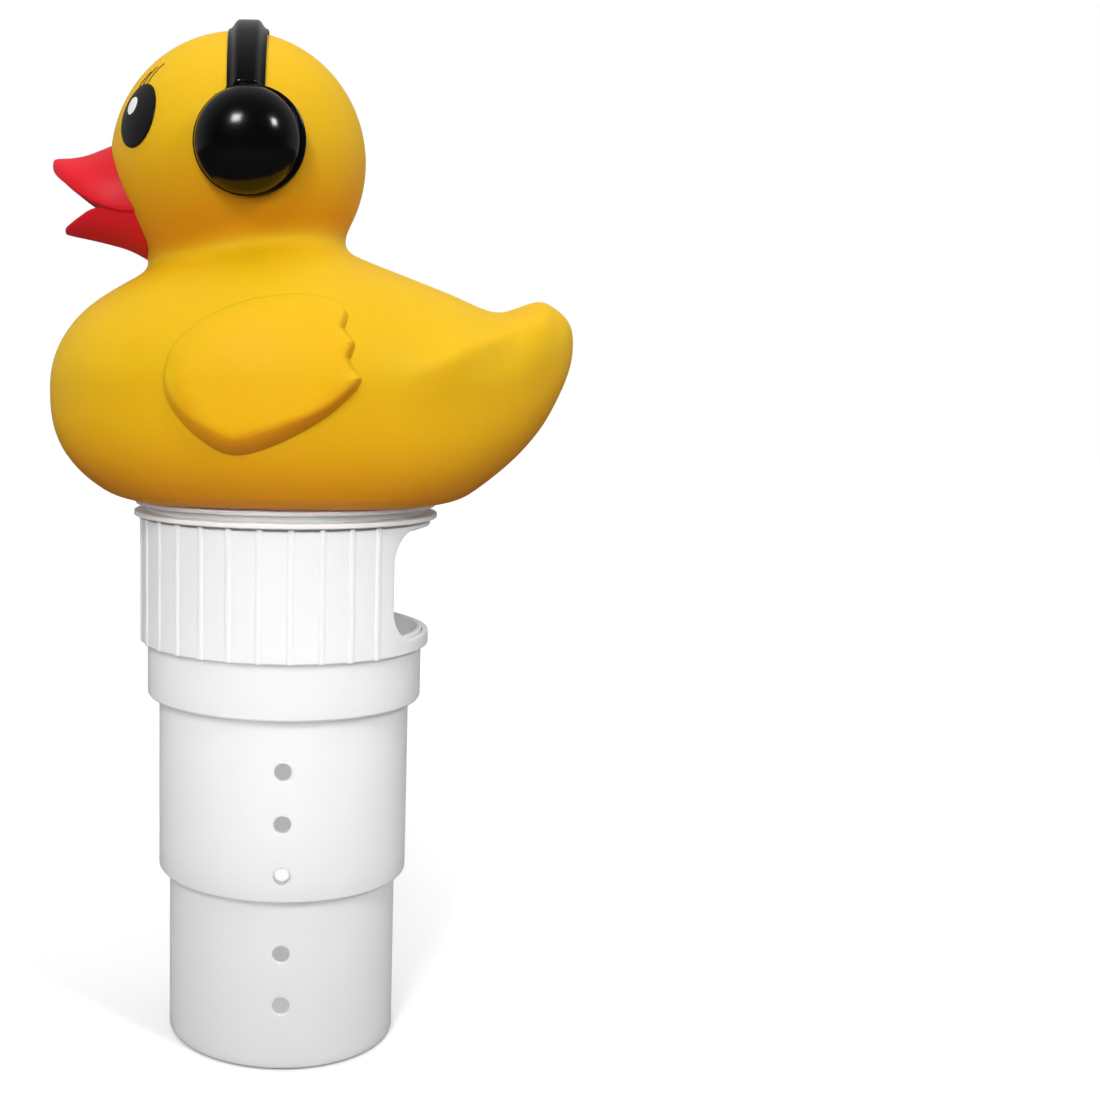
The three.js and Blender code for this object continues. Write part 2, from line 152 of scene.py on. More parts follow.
def filleted(profile, radius=0.4, steps=4, is_closed=True):
    """A profile of (radius, height) points with each corner rounded by an arc."""
    profile = np.array(profile, float)
    last = len(profile) - 1
    rounded = []
    for i, here in enumerate(profile):
        sides = np.array([profile[i - 1] - here, profile[(i + 1) % len(profile)] - here])
        lengths = np.linalg.norm(sides, axis=1)
        sides /= lengths[:, None]
        cosine = float(np.clip(sides[0] @ sides[1], -1, 1))
        is_end = not is_closed and i in (0, last)
        if is_end or here[0] < 1e-6 or cosine < STRAIGHT:
            rounded.append(here)
            continue
        half = math.acos(cosine) / 2
        reach = min(radius / math.tan(half), *SIDE_SHARE * lengths)
        arc_radius = reach * math.tan(half)
        middle = sides.sum(axis=0)
        centre = here + middle / np.linalg.norm(middle) * (arc_radius / math.sin(half))
        start, end = here + sides * reach - centre
        for t in np.linspace(0, 1, steps + 1):
            arm = start * (1 - t) + end * t
            rounded.append(centre + arm / np.linalg.norm(arm) * arc_radius)
    return np.array(rounded)


def open_profile(profile, radius=0.4):
    """Rounds the inner corners of an open profile and drops its two end points."""
    return filleted(profile, radius, is_closed=False)[1:-1]


def turned_piece(name, profile, body, slot, node, count=192, radius=0.4):
    """Turns a closed profile of (radius, height) about the tube axis."""
    rounded = filleted(profile, radius)
    angles = even_angles(count)
    out, up = rounded[:, :1], rounded[:, 1:]
    x, y = out * np.cos(angles), out * np.sin(angles)
    points = np.stack([x, y, np.broadcast_to(up, x.shape)], axis=-1)
    looped_piece(name, points, body, slot, (node,), wrap_rows=True)


class Wall:
    """A round wall with openings, with a foot and a top that close it.

    foot runs from the wall's inside to its outside under the wall, and top runs back from the
    outside to the inside over it. Both are profiles of (radius, height).
    rows are the heights of the wall's rings, and angles are its columns, in radians.
    swell gives how far the outside stands out and how far it moves up, by angle and height.
    """

    def __init__(self, outer, inner, rows, angles, foot, top, swell=lambda angle, height: (0, 0)):
        self.outer, self.inner = outer, inner
        self.rows, self.angles = np.asarray(rows), np.asarray(angles)
        self.foot, self.top, self.swell = foot, top, swell
        self.points, self.faces, self.blocked = [], [], set()
        self.outside, self.inside = [
            [[self.place(radius, a, z, share) for a in self.angles] for z in self.rows]
            for radius, share in ((outer, 1), (inner, 0))
        ]

    def place(self, radius, angle, height, share, swell_height=None):
        """Adds a point that takes this share of the wall's swell."""
        out, along = self.swell(angle, height if swell_height is None else swell_height)
        radius, height = radius + out * share, height + along * share
        self.points.append((radius * math.cos(angle), radius * math.sin(angle), height))
        return len(self.points) - 1

    def strip(self, first, second):
        """Faces between two loops of points."""
        for j in range(len(first)):
            k = (j + 1) % len(first)
            self.faces.append((first[j], first[k], second[k], second[j]))

    def opening(self, angle, height, half_width, half_height, corner, margin, fillet):
        """Cuts an opening with rounded corners. Its frame of grid cells lies margin outside it."""
        turn = (self.angles - angle + math.pi) % TAU - math.pi
        reach = (half_width + margin) / self.outer
        columns = np.where(np.abs(turn) <= reach + 1e-6)[0]
        columns = columns[np.argsort(turn[columns])]
        low, high = (
            int(np.argmin(np.abs(self.rows - height - side * (half_height + margin))))
            for side in (-1, 1)
        )
        self.blocked |= {(i, int(j)) for i in range(low, high) for j in columns[:-1]}
        ring = [(low, j) for j in columns]
        ring += [(i, columns[-1]) for i in range(low + 1, high)]
        ring += [(high, j) for j in columns[::-1]]
        ring += [(i, columns[0]) for i in range(high - 1, low, -1)]
        cells = np.array([(turn[j] * self.outer, self.rows[i] - height) for i, j in ring])
        core = np.array([half_width - corner, half_height - corner])
        near_core = np.clip(cells, -core, core)
        outward = cells - near_core
        outward /= np.linalg.norm(outward, axis=1)[:, None]
        rim = near_core + corner * outward
        shoulder = rim + fillet * outward
        edges = [(cells * (1 - share) + shoulder * share, self.outer, 1) for share in (0.35, 0.7)]
        bends = np.linspace(0, math.pi / 2, 5)
        for radius, inwards, share in ((self.outer, -fillet, 1), (self.inner, fillet, 0)):
            for bend in bends if share else bends[::-1]:
                points = rim + fillet * (1 - math.sin(bend)) * outward
                edges.append((points, radius + inwards * (1 - math.cos(bend)), share))
        loops = [[self.outside[i][j] for i, j in ring]]
        loops += [
            [self.place(radius, angle + across / self.outer, height + up, share)
             for across, up in points]
            for points, radius, share in edges
        ]
        loops.append([self.inside[i][j] for i, j in ring])
        for first, second in zip(loops, loops[1:]):
            self.strip(first, second)

    def ends(self):
        """Closes the wall with its foot and its top."""
        for profile, start, end, row in (
            (self.foot, self.inside[0], self.outside[0], 0),
            (self.top, self.outside[-1], self.inside[-1], -1),
        ):
            previous = start
            for radius, height in profile:
                share = np.clip((radius - self.inner) / (self.outer - self.inner), 0, 1)
                ring = [self.place(radius, a, height, share, self.rows[row]) for a in self.angles]
                self.strip(previous, ring)
                previous = ring
            self.strip(previous, end)

    def piece(self, name, body, node):
        """Makes the piece, once all openings are cut."""
        count = len(self.angles)
        for i in range(len(self.rows) - 1):
            for j in range(count):
                if (i, j) not in self.blocked:
                    k = (j + 1) % count
                    for side in (self.outside, self.inside):
                        self.faces.append((side[i][j], side[i][k], side[i + 1][k], side[i + 1][j]))
        self.ends()
        mesh_piece(name, self.points, self.faces, body, "white_plastic", (node,))


# ---- materials


class Nodes:
    """A node tree being built. An input is fed a number, a colour or another node's output."""

    def __init__(self, tree):
        self.tree = tree

    def feed(self, socket, value):
        if isinstance(value, bpy.types.NodeSocket):
            self.tree.links.new(value, socket)
        elif socket.type == "RGBA":
            socket.default_value = (*value, 1)
        else:
            socket.default_value = value

    def add(self, kind, inputs, **settings):
        """Adds a node and returns its first output."""
        node = self.tree.nodes.new(f"ShaderNode{kind}")
        for name, value in settings.items():
            setattr(node, name, value)
        for name, value in inputs.items():
            self.feed(node.inputs[name], value)
        return node.outputs[0]

    def output(self, kind, name):
        """One output of a new node that has no inputs to set."""
        return self.tree.nodes.new(f"ShaderNode{kind}").outputs[name]

    def axis(self, vector, name):
        """One coordinate of a vector."""
        return self.add("SeparateXYZ", {0: vector}).node.outputs[name]

    def between(self, factor, low, high):
        """A value that runs from low to high as the factor goes from 0 to 1."""
        return self.add("Mix", {0: factor, 2: low, 3: high}, data_type="FLOAT")

    def blended(self, factor, low, high):
        """A colour that runs from low to high as the factor goes from 0 to 1."""
        return self.add("Mix", {0: factor, 6: low, 7: high}, data_type="RGBA").node.outputs[2]

    def product(self, first, second):
        return self.add("Math", {0: first, 1: second}, operation="MULTIPLY")

    def contrast(self, value, low, high):
        """Stretches a value so that low becomes 0 and high becomes 1."""
        return self.add("MapRange", {"Value": value, "From Min": low, "From Max": high})

    def noise(self, scale, detail, roughness=0.5):
        """Noise in the row frame's own coordinates."""
        return self.add("TexNoise", {
            "Vector": self.output("TexCoord", "Object"), "Scale": scale, "Detail": detail,
            "Roughness": roughness,
        })

    def bump(self, height, strength, distance, under=None):
        """Roughens a surface by a height. distance is in mm, and under is the layer below it."""
        inputs = {"Strength": strength, "Distance": distance * MM, "Height": height}
        if under:
            inputs["Normal"] = under
        return self.add("Bump", inputs)


def new_material(name, shading):
    """Makes a material from a function of its nodes that returns the shader's inputs."""
    material = bpy.data.materials.new(name)
    material.use_nodes = True
    tree = material.node_tree
    tree.nodes.clear()
    nodes = Nodes(tree)
    surface = nodes.add("BsdfPrincipled", shading(nodes))
    tree.links.new(surface, tree.nodes.new("ShaderNodeOutputMaterial").inputs["Surface"])
    return material


DRIFT_SCALE, PATCH_SCALE, BROAD_SCALE = 14, 45, 40
MIDDLE_SHARE = (0.3, 0.7)  # the part of a noise that runs over the whole range of a look
PAINTED_SHADE_TILT = (-0.75, 0.15)  # upward part of the normal over which the painted shade of down-facing surfaces runs into the top's colour


def moulded_material(
    name, dark, light, rough, grain_scale, grain, depth=0.0, glow=(1, 1, 1), shine=0.5, underside=None,
):
    """Moulded plastic: slow colour drift, a fine moulding grain and uneven gloss.

    depth and glow set how far light soaks in, and underside is painted shade: a darker, warmer colour
    where the surface faces down, in place of shade and warm bounce light.
    """
    def shading(nodes):
        drift = nodes.contrast(nodes.noise(DRIFT_SCALE, 3), *MIDDLE_SHARE)
        patches = nodes.contrast(nodes.noise(PATCH_SCALE, 4, 0.6), *MIDDLE_SHARE)
        colour = nodes.blended(drift, dark, light)
        # painted shade: a darker, warmer colour blended in where the surface faces down
        if underside:
            up = nodes.axis(nodes.output("NewGeometry", "Normal"), "Z")
            colour = nodes.blended(nodes.contrast(up, *PAINTED_SHADE_TILT), underside, colour)
        broad = nodes.bump(nodes.noise(BROAD_SCALE, 2), 0.05, 0.3)
        return {
            "Base Color": colour,
            "Roughness": nodes.between(patches, *rough),
            "Normal": nodes.bump(nodes.noise(grain_scale, 4, 0.6), grain, 0.05, broad),
            "Subsurface Weight": depth,
            "Subsurface Radius": glow,
            "Subsurface Scale": 6 * MM,
            "Specular IOR Level": shine,
            "IOR": 1.48,
        }

    return new_material(name, shading)


def grey(level):
    return (level, level, level)


MATERIALS = {
    name: moulded_material(name, **look)
    for name, look in {
        "white_plastic": dict(
            dark=(0.89, 0.89, 0.895), light=grey(0.93), rough=(0.36, 0.5),
            grain_scale=900, grain=0.15, depth=0.35, shine=0.45,
        ),
        "yellow_vinyl": dict(
            dark=(0.80, 0.44, 0.003), light=(0.84, 0.48, 0.005), rough=(0.5, 0.62),
            grain_scale=1100, grain=0.2, depth=0.3, glow=(1.6, 0.45, 0.08), shine=0.22,
            # painted shade on the duck's down-facing vinyl
            underside=(0.76, 0.26, 0.004),
        ),
        "red_vinyl": dict(
            dark=(0.68, 0.006, 0.016), light=(0.74, 0.01, 0.024), rough=(0.4, 0.52),
            grain_scale=1100, grain=0.2, depth=0.15, glow=(1.2, 0.1, 0.1), shine=0.3,
        ),
        "black_gloss": dict(
            dark=grey(0.002), light=grey(0.004), rough=(0.13, 0.19),
            grain_scale=700, grain=0.04, shine=0.38,
        ),
        "eye_black": dict(
            dark=grey(0.003), light=grey(0.005), rough=(0.3, 0.4),
            grain_scale=1500, grain=0.15, shine=0.3,
        ),
        "lash_brown": dict(
            dark=(0.09, 0.03, 0.004), light=(0.13, 0.045, 0.006), rough=(0.4, 0.5),
            grain_scale=1500, grain=0.15,
        ),
        "eye_white": dict(
            dark=(0.84, 0.84, 0.83), light=(0.9, 0.9, 0.89), rough=(0.35, 0.45),
            grain_scale=1500, grain=0.15,
        ),
        "seal_rubber": dict(
            dark=(0.03, 0.03, 0.032), light=(0.05, 0.05, 0.052), rough=(0.7, 0.85),
            grain_scale=900, grain=0.3,
        ),
    }.items()
}


# ---- telescoping tubes

WALL = 1.8
VENT_RADIUS = 3.1
VENT_MARGIN = 2.2
VENT_COLUMNS = 4
TUBE_COLUMNS = 224  # of a tube's mesh
LOWER_VENTS = (23.5, 42.7)
MIDDLE_VENTS = (72.5, 91.3, 110.1)
BEAD_HEIGHT = 3.0
LOWER_BEAD, MIDDLE_BEAD = 1.7, 2.2  # how far the beads stand out
LIP_HEIGHT = 2.0
LIP_GAP = 0.3  # between a lip and the tube that slides in it


def vented_tube(name, body, node, bead_rise, wall_foot, vents, foot_profile):
    """A tube with a stop bead at its top and columns of vents.

    foot_profile gives the foot from the tube's inner and outer radius, its lowest height and
    the height where its plain wall starts.
    """
    low, high = node_box(node)
    bead, foot_z, top_z = high[0], low[2], high[2]
    outer = bead - bead_rise
    inner = outer - WALL
    bead_foot = top_z - BEAD_HEIGHT
    wall_low, wall_high = foot_z + wall_foot, bead_foot - 2
    top = open_profile([
        (outer, wall_high), (outer, bead_foot), (bead, bead_foot), (bead, top_z), (inner, top_z),
        (inner, wall_high),
    ])
    frame_half = VENT_RADIUS + VENT_MARGIN
    rows = [wall_low, wall_high]
    for height in vents:
        rows += list(np.linspace(height - frame_half, height + frame_half, 7))
    foot = foot_profile(inner, outer, foot_z, wall_low)
    wall = Wall(outer, inner, sorted(rows), even_angles(TUBE_COLUMNS), foot, top)
    for height in vents:
        for angle in even_angles(VENT_COLUMNS):
            wall.opening(angle, height, *[VENT_RADIUS] * 3, VENT_MARGIN, 0.35)
    wall.piece(name, body, node)


def lower_foot(inner, outer, foot_z, wall_low):
    """The closed end of the lowest tube, with a shallow groove round its underside."""
    floor = foot_z + WALL
    groove = foot_z + 0.5
    inside = filleted([(inner, wall_low), (inner, floor), (0, floor)], 1.5, 5, False)[1:]
    under = filleted([
        (0, foot_z), (outer - 6, foot_z), (outer - 6.6, groove), (outer - 3.4, groove),
        (outer - 2.8, foot_z), (outer, foot_z), (outer, wall_low),
    ], 0.9, 5, False)[:-1]
    return [*inside, *under]


def middle_foot(inner, outer, foot_z, wall_low):
    """The open end of the middle tube, with a lip that holds the lowest tube's bead."""
    lip = node_box("lower_tube")[1][0] - LOWER_BEAD + LIP_GAP
    lip_top = foot_z + LIP_HEIGHT
    return open_profile([
        (inner, wall_low), (inner, lip_top), (lip, lip_top), (lip, foot_z), (outer, foot_z),
        (outer, wall_low),
    ], 0.5)


# ---- vent body and flow sleeve

WINDOW_WIDTH = 75.2
WINDOW_SILL = 154.3
WINDOW_HEAD = 193.2
WINDOW_CORNER = 12.0
BODY_MARGIN = 0.9  # by which the body's window is smaller than the sleeve's
BODY_FRAME, SLEEVE_FRAME = 0.6, 0.9  # widths of the mesh cells round the two windows
BODY_COLUMNS = 240
TAIL = math.pi / 2  # the window faces +Y
BODY_SET_IN = 4.95  # from the flange's edge to the body's outside
BODY_WALL = 1.85
FLANGE_FOOT, FLANGE_TOP, COLLAR_TOP = 195.8, 197.6, 199.8
NECK, NECK_BORE = 49.3, 47.5
THREAD_TURNS, THREAD_PITCH, THREAD_RISE, THREAD_HALF = 3, 3.6, 0.9, 0.8
SNAP_RISE, SNAP_HEIGHT = 0.9, 151.0


def window(wall, margin, frame_margin):
    """Cuts the window on the tail side, smaller by the margin all round."""
    half_chord = WINDOW_WIDTH / 2 - margin
    half_arc = wall.outer * math.asin(half_chord / wall.outer)
    wall.opening(
        TAIL, (WINDOW_SILL + WINDOW_HEAD) / 2, half_arc,
        (WINDOW_HEAD - WINDOW_SILL) / 2 - margin, WINDOW_CORNER, frame_margin, 0.5,
    )


def vent_body():
    low, high = node_box("vent_body")
    flange, foot_z, neck_top = high[0], low[2], high[2]
    outer = flange - BODY_SET_IN
    inner = outer - BODY_WALL
    lip = node_box("middle_tube")[1][0] - MIDDLE_BEAD + LIP_GAP
    lip_top = foot_z + LIP_HEIGHT
    frame_low = WINDOW_SILL + BODY_MARGIN - BODY_FRAME
    frame_high = WINDOW_HEAD - BODY_MARGIN + BODY_FRAME
    wall_low, wall_high = frame_low - 1.4, frame_high + 1.3
    foot = open_profile([
        (inner, wall_low), (inner, lip_top), (lip, lip_top), (lip, foot_z), (outer - 0.6, foot_z),
        (outer, foot_z + 0.9), (outer, SNAP_HEIGHT - SNAP_RISE), (outer + SNAP_RISE, SNAP_HEIGHT),
        (outer, SNAP_HEIGHT + SNAP_RISE), (outer, wall_low),
    ], 0.8)
    thread = []
    for turn in range(THREAD_TURNS):
        crest = COLLAR_TOP + 2.0 + THREAD_PITCH * turn
        thread += [
            (NECK, crest - THREAD_HALF), (NECK + THREAD_RISE, crest), (NECK, crest + THREAD_HALF),
        ]
    inner_collar = COLLAR_TOP + 0.1
    top = open_profile([
        (outer, wall_high), (outer, FLANGE_FOOT), (flange, FLANGE_FOOT), (flange, FLANGE_TOP),
        (outer, FLANGE_TOP), (outer, COLLAR_TOP), (NECK, COLLAR_TOP), *thread, (NECK, neck_top),
        (NECK_BORE, neck_top), (NECK_BORE, inner_collar), (inner, inner_collar), (inner, wall_high),
    ], 0.45)
    rows = [wall_low, frame_low, *np.linspace(156.5, 190.5, 11), frame_high, wall_high]
    wall = Wall(outer, inner, rows, even_angles(BODY_COLUMNS), foot, top)
    window(wall, BODY_MARGIN, BODY_FRAME)
    wall.piece("vent_body_moulding", "housing", "vent_body")


SLEEVE, SLEEVE_BORE = 53.6, 51.45
SLEEVE_EDGE = 0.9  # height of the sleeve's two rounded ends
SLEEVE_DROP = 0.5  # how far the top edge lies below the ribs' box
RIB_COUNT = 31
RIB_STEP = TAU / RIB_COUNT
RIB_START = math.radians(2.1)
RIB_HALF = 1.2
RIB_RISE = 0.5
RIB_FOOT_REACH, RIB_TOP_REACH = 0.3, 0.8  # how far the ribs stand past the sleeve's ends
RIB_COLUMNS = (-1.02, -0.92, -0.72, -0.45, -0.2, 0, 0.2, 0.45, 0.72, 0.92, 1.02)
GAP_COLUMNS = (0.28, 0.42, 0.58, 0.72)
FRAME_HALF = math.radians(50)  # the window's frame has no ribs this far to each side


def rib_share(angle):
    """How much of a rib's height stands at an angle: 1 on a crest, 0 beside the ribs."""
    rib = RIB_START + round((angle - RIB_START) / RIB_STEP) * RIB_STEP
    from_tail = abs((rib - TAIL + math.pi) % TAU - math.pi)
    across = abs(angle - rib) * SLEEVE / RIB_HALF
    return (1 - across**2) ** 0.45 if from_tail > FRAME_HALF and across < 1 else 0.0


def flow_sleeve():
    low, high = node_box("flow_sleeve")
    foot_z, edge_z = low[2], high[2] - SLEEVE_DROP
    wall_low, wall_high = foot_z + SLEEVE_EDGE, high[2] - SLEEVE_EDGE

    def ribs(angle, height):
        share = rib_share(float(angle))
        reach = {wall_low: -RIB_FOOT_REACH, wall_high: RIB_TOP_REACH}.get(height, 0.0)
        return RIB_RISE * share, reach * share

    foot = open_profile([
        (SLEEVE_BORE, wall_low), (SLEEVE_BORE, foot_z), (SLEEVE, foot_z), (SLEEVE, wall_low),
    ], 0.5)
    top = open_profile([
        (SLEEVE, wall_high), (SLEEVE, edge_z), (SLEEVE_BORE, edge_z), (SLEEVE_BORE, wall_high),
    ], 0.3)
    angles = []
    for number in range(RIB_COUNT):
        rib = RIB_START + number * RIB_STEP
        angles += [rib + share * RIB_HALF / SLEEVE for share in RIB_COLUMNS]
        angles += [rib + share * RIB_STEP for share in GAP_COLUMNS]
    rows = [wall_low, foot_z + 1.8, 153.2, *np.linspace(156, 191, 11), wall_high]
    wall = Wall(SLEEVE, SLEEVE_BORE, rows, np.sort(np.array(angles) % TAU), foot, top, ribs)
    window(wall, 0.0, SLEEVE_FRAME)
    wall.piece("flow_sleeve_moulding", "sleeve", "flow_sleeve")


# ---- cap and gasket

CAP, CAP_BORE = 52.5, 51.0
CAP_RIDGE, CAP_RIDGE_HEIGHT = 54.0, 204.5
CAP_PLATE, CAP_ROOF = 1.6, 1.8  # thicknesses


def screw_cap():
    low, high = node_box("screw_cap")
    plate, foot_z, roof_top = high[0], low[2], high[2]
    turned_piece("screw_cap_moulding", [
        (0, roof_top - CAP_ROOF), (CAP_BORE, roof_top - CAP_ROOF), (CAP_BORE, foot_z),
        (plate, foot_z), (plate, foot_z + CAP_PLATE), (CAP, foot_z + CAP_PLATE),
        (CAP, CAP_RIDGE_HEIGHT), (CAP_RIDGE, CAP_RIDGE_HEIGHT), (CAP, CAP_RIDGE_HEIGHT + 2),
        (CAP, roof_top), (0, roof_top),
    ], "float", "white_plastic", "screw_cap")


def cap_gasket():
    low, high = node_box("cap_gasket")
    turned_piece("cap_gasket_ring", [
        (NECK_BORE, low[2]), (high[0], low[2]), (high[0], high[2]), (NECK_BORE, high[2]),
    ], "seal", "seal_rubber", "cap_gasket", 160, 0.6)


# ---- duck

BODY_MIDDLE, BODY_REACH = 9.1, 95.1
BODY_STATIONS = np.array([
    # angle, top, underside, half width
    (0, 241, 241, 0),
    (15, 256.5, 223.9, 23),
    (30, 269.5, 211, 41),
    (45, 279.6, 201.4, 55),
    (60, 289, 194, 65),
    (75, 295, 190.5, 70.5),
    (90, 294.6, 189.5, 71.5),
    (105, 285.9, 192, 66.5),
    (120, 277.2, 199.5, 55),
    (135, 269.4, 212.3, 39.5),
    (150, 274.1, 227.5, 25),
    (160, 271.2, 239.6, 17),
    (170, 266.2, 250, 9),
    (180, 259, 259, 0),
])
HEAD_CENTRE = np.array([0, -18.2, 322.1])
HEAD_RADIUS = 45.9
NECK_BLEND = 10.0
SEAT_BLEND = 4.0
SHELL = 2.2
CREASE_LINE = ((36.0, 246.6), (90.0, 265.6))  # (y, z) of its ends
CREASE_RISE, CREASE_WIDTH, CREASE_SOFTNESS = 3.0, 7.5, 0.9


def through(stations, angle):
    """Smooth curves through the stations' columns, by angle in degrees."""
    at = stations[:, 0]
    values = stations[:, 1:]
    slopes = np.empty_like(values)
    slopes[1:-1] = (values[2:] - values[:-2]) / (at[2:] - at[:-2])[:, None]
    slopes[0] = (values[1] - values[0]) / (at[1] - at[0])
    slopes[-1] = (values[-1] - values[-2]) / (at[-1] - at[-2])
    i = np.clip(np.searchsorted(at, angle) - 1, 0, len(at) - 2)
    span = (at[i + 1] - at[i])[:, None]
    t = ((angle - at[i])[:, None]) / span
    a, b = values[i], values[i + 1]
    rise = b - a
    bend = (1 - t) * (slopes[i] * span - rise) - t * (slopes[i + 1] * span - rise)
    return a + t * rise + t * (1 - t) * bend


class Swollen:
    """A rounded body along Y, given by stations; sections are superellipses.

    above and below are the powers of the sections' upper and lower halves.
    """

    TURNOVER = 6.0  # height over which the lower power runs over to the upper one
    END = 20  # samples from each end where the straight fall beyond the ends starts

    def __init__(self, middle, reach, stations, above, below):
        self.above, self.below = above, below
        self.middle, self.reach, self.stations = middle, reach, stations
        self.y, tall, self.centre, half = self.sections(np.linspace(0, 180, 4001))
        self.square = tall**2
        ratio = tall[1:-1] / np.maximum(half[1:-1], 1e-6)
        self.ratio = np.concatenate([ratio[:1], ratio, ratio[-1:]])

    def sections(self, angle):
        """Place along Y, half height, middle height and half width at station angles."""
        top, under, half = through(self.stations, angle).T
        y = self.middle - self.reach * np.cos(np.radians(angle))
        return y, (top - under) / 2, (top + under) / 2, half

    def field(self, points):
        """Negative inside, zero on the surface, roughly a squared length."""
        x, y, z = points.T
        square = np.interp(y, self.y, self.square)
        for end, near, side in ((0, self.END, 1), (-1, -self.END - 1, -1)):
            fall = self.square[near] / (self.y[near] - self.y[end])
            is_beyond = side * (y - self.y[near]) < 0
            square = np.where(is_beyond, (y - self.y[end]) * fall, square)
        up = z - np.interp(y, self.y, self.centre)
        power = self.below + (self.above - self.below) / (1 + np.exp(-up / self.TURNOVER))
        across = np.abs(x * np.interp(y, self.y, self.ratio)) + 1e-9
        return (across**power + (np.abs(up) + 1e-9) ** power) ** (2 / power) - square

    def distance(self, points, step=0.05):
        """Distance to the surface, true near it, and its gradient."""
        gradient = np.stack([
            (self.field(points + shift) - self.field(points - shift)) / (2 * step)
            for shift in step * np.eye(3)
        ], axis=1)
        length = np.maximum(np.linalg.norm(gradient, axis=1), 1.0)
        return self.field(points) / length, gradient / length[:, None]

    def mesh(self, around, along):
        """Points and faces of the body as a lofted closed mesh, for a start shape."""
        y, tall, centre, half = (column[:, None] for column in self.sections(np.linspace(0, 180, along)))
        turn = even_angles(around)
        power = 2 / np.where(np.sin(turn) > 0, self.above, self.below)
        x, z = (np.sign(way) * np.abs(way) ** power for way in (np.cos(turn), np.sin(turn)))
        points = np.stack([half * x, y + 0 * x, centre + tall * z], axis=-1)
        return points.reshape(-1, 3), grid_faces(along, around)


DUCK_BODY = Swollen(BODY_MIDDLE, BODY_REACH, BODY_STATIONS, 2.2, 2.9)
DUCK_FLOOR = node_box("duck_shell")[0][2]


def smooth_least(first, second, width):
    """The smaller of two distances, with a soft change-over; also the first one's share."""
    share = np.clip(0.5 + 0.5 * (second - first) / width, 0, 1)
    return second * (1 - share) + first * share - width * share * (1 - share), share


def duck_distance(points):
    """Distance and outward direction of the duck's skin without its wings."""
    body, body_out = DUCK_BODY.distance(points)
    from_head = points - HEAD_CENTRE
    radius = np.linalg.norm(from_head, axis=1)
    head, head_out = radius - HEAD_RADIUS, from_head / radius[:, None]
    skin, share = smooth_least(body, head, NECK_BLEND)
    out = body_out * share[:, None] + head_out * (1 - share[:, None])
    negative, cut = smooth_least(-skin, points[:, 2] - DUCK_FLOOR, SEAT_BLEND)
    out = out * cut[:, None] + np.array([0, 0, -1.0]) * (1 - cut[:, None])
    return -negative, out / np.linalg.norm(out, axis=1)[:, None]


def onto_duck(points, rounds=8):
    """Moves points onto the duck's skin and returns them with their outward directions."""
    points = np.array(points, float)
    for _ in range(rounds):
        distance, out = duck_distance(points)
        points = points - out * np.clip(distance, -3, 3)[:, None]
    return points, duck_distance(points)[1]


def applied(piece):
    """Replaces a piece's mesh by what its modifiers make of it."""
    evaluated = piece.evaluated_get(bpy.context.evaluated_depsgraph_get())
    mesh = bpy.data.meshes.new_from_object(evaluated)
    piece.modifiers.clear()
    old, piece.data = piece.data, mesh
    bpy.data.meshes.remove(old)


def relaxed(points, edges, rounds):
    """Evens out the spacing of points that will be put back on their surface."""
    a, b = edges.reshape(-1, 2).T
    for _ in range(rounds):
        total, count = np.zeros_like(points), np.zeros((len(points), 1))
        for here, there in ((a, b), (b, a)):
            np.add.at(total, here, points[there])
            np.add.at(count, here, 1)
        points = points + 0.5 * (total / count - points)
    return points


def tail_crease(points):
    """How far the skin stands out at the soft crease that runs along each flank to the tail."""
    y, z = points[:, 1], points[:, 2]
    (start_y, start_z), (end_y, end_z) = CREASE_LINE
    share = (y - start_y) / (end_y - start_y)
    off = z - (start_z + (end_z - start_z) * share)
    fade = np.clip(3 * share, 0, 1) * np.clip(4 * (1.1 - share), 0, 1)
    away = np.hypot(off, CREASE_SOFTNESS) - CREASE_SOFTNESS
    return CREASE_RISE * fade * np.exp(-away / CREASE_WIDTH)


VOXEL = 1.9
SEAT_OPENING = 52.8  # radius of the hole in the duck's flat underside


def duck_shell():
    """The duck's skin: a remeshed start shape moved onto the skin, opened below and thickened."""
    piece = object_from("duck_shell_vinyl", *DUCK_BODY.mesh(72, 60))
    with editing(piece.data) as work:
        bmesh.ops.remove_doubles(work, verts=work.verts, dist=0.01 * MM)
        bmesh.ops.create_uvsphere(
            work, u_segments=64, v_segments=40, radius=HEAD_RADIUS * MM,
            matrix=Matrix.Translation(Vector(HEAD_CENTRE * MM)),
        )
        bmesh.ops.recalc_face_normals(work, faces=work.faces)
    remesh = piece.modifiers.new("even", "REMESH")
    remesh.mode = "VOXEL"
    remesh.voxel_size = VOXEL * MM
    applied(piece)
    mesh = piece.data
    flat, edges = np.empty(len(mesh.vertices) * 3), np.empty(len(mesh.edges) * 2, int)
    mesh.vertices.foreach_get("co", flat)
    mesh.edges.foreach_get("vertices", edges)
    points = flat.reshape(-1, 3) / MM
    points[:, 2] = np.maximum(points[:, 2], DUCK_FLOOR)
    for _ in range(3):
        points, _ = onto_duck(relaxed(points, edges, 3), 4)
    points, out = onto_duck(points)
    points += out * tail_crease(points)[:, None]
    mesh.vertices.foreach_set("co", (points * MM).ravel())
    mesh.update()
    open_floor(piece)
    wall = piece.modifiers.new("wall", "SOLIDIFY")
    wall.thickness = SHELL * MM
    wall.offset = -1
    applied(piece)
    finish_piece(piece, "float", "yellow_vinyl", ("duck_shell",), 60)


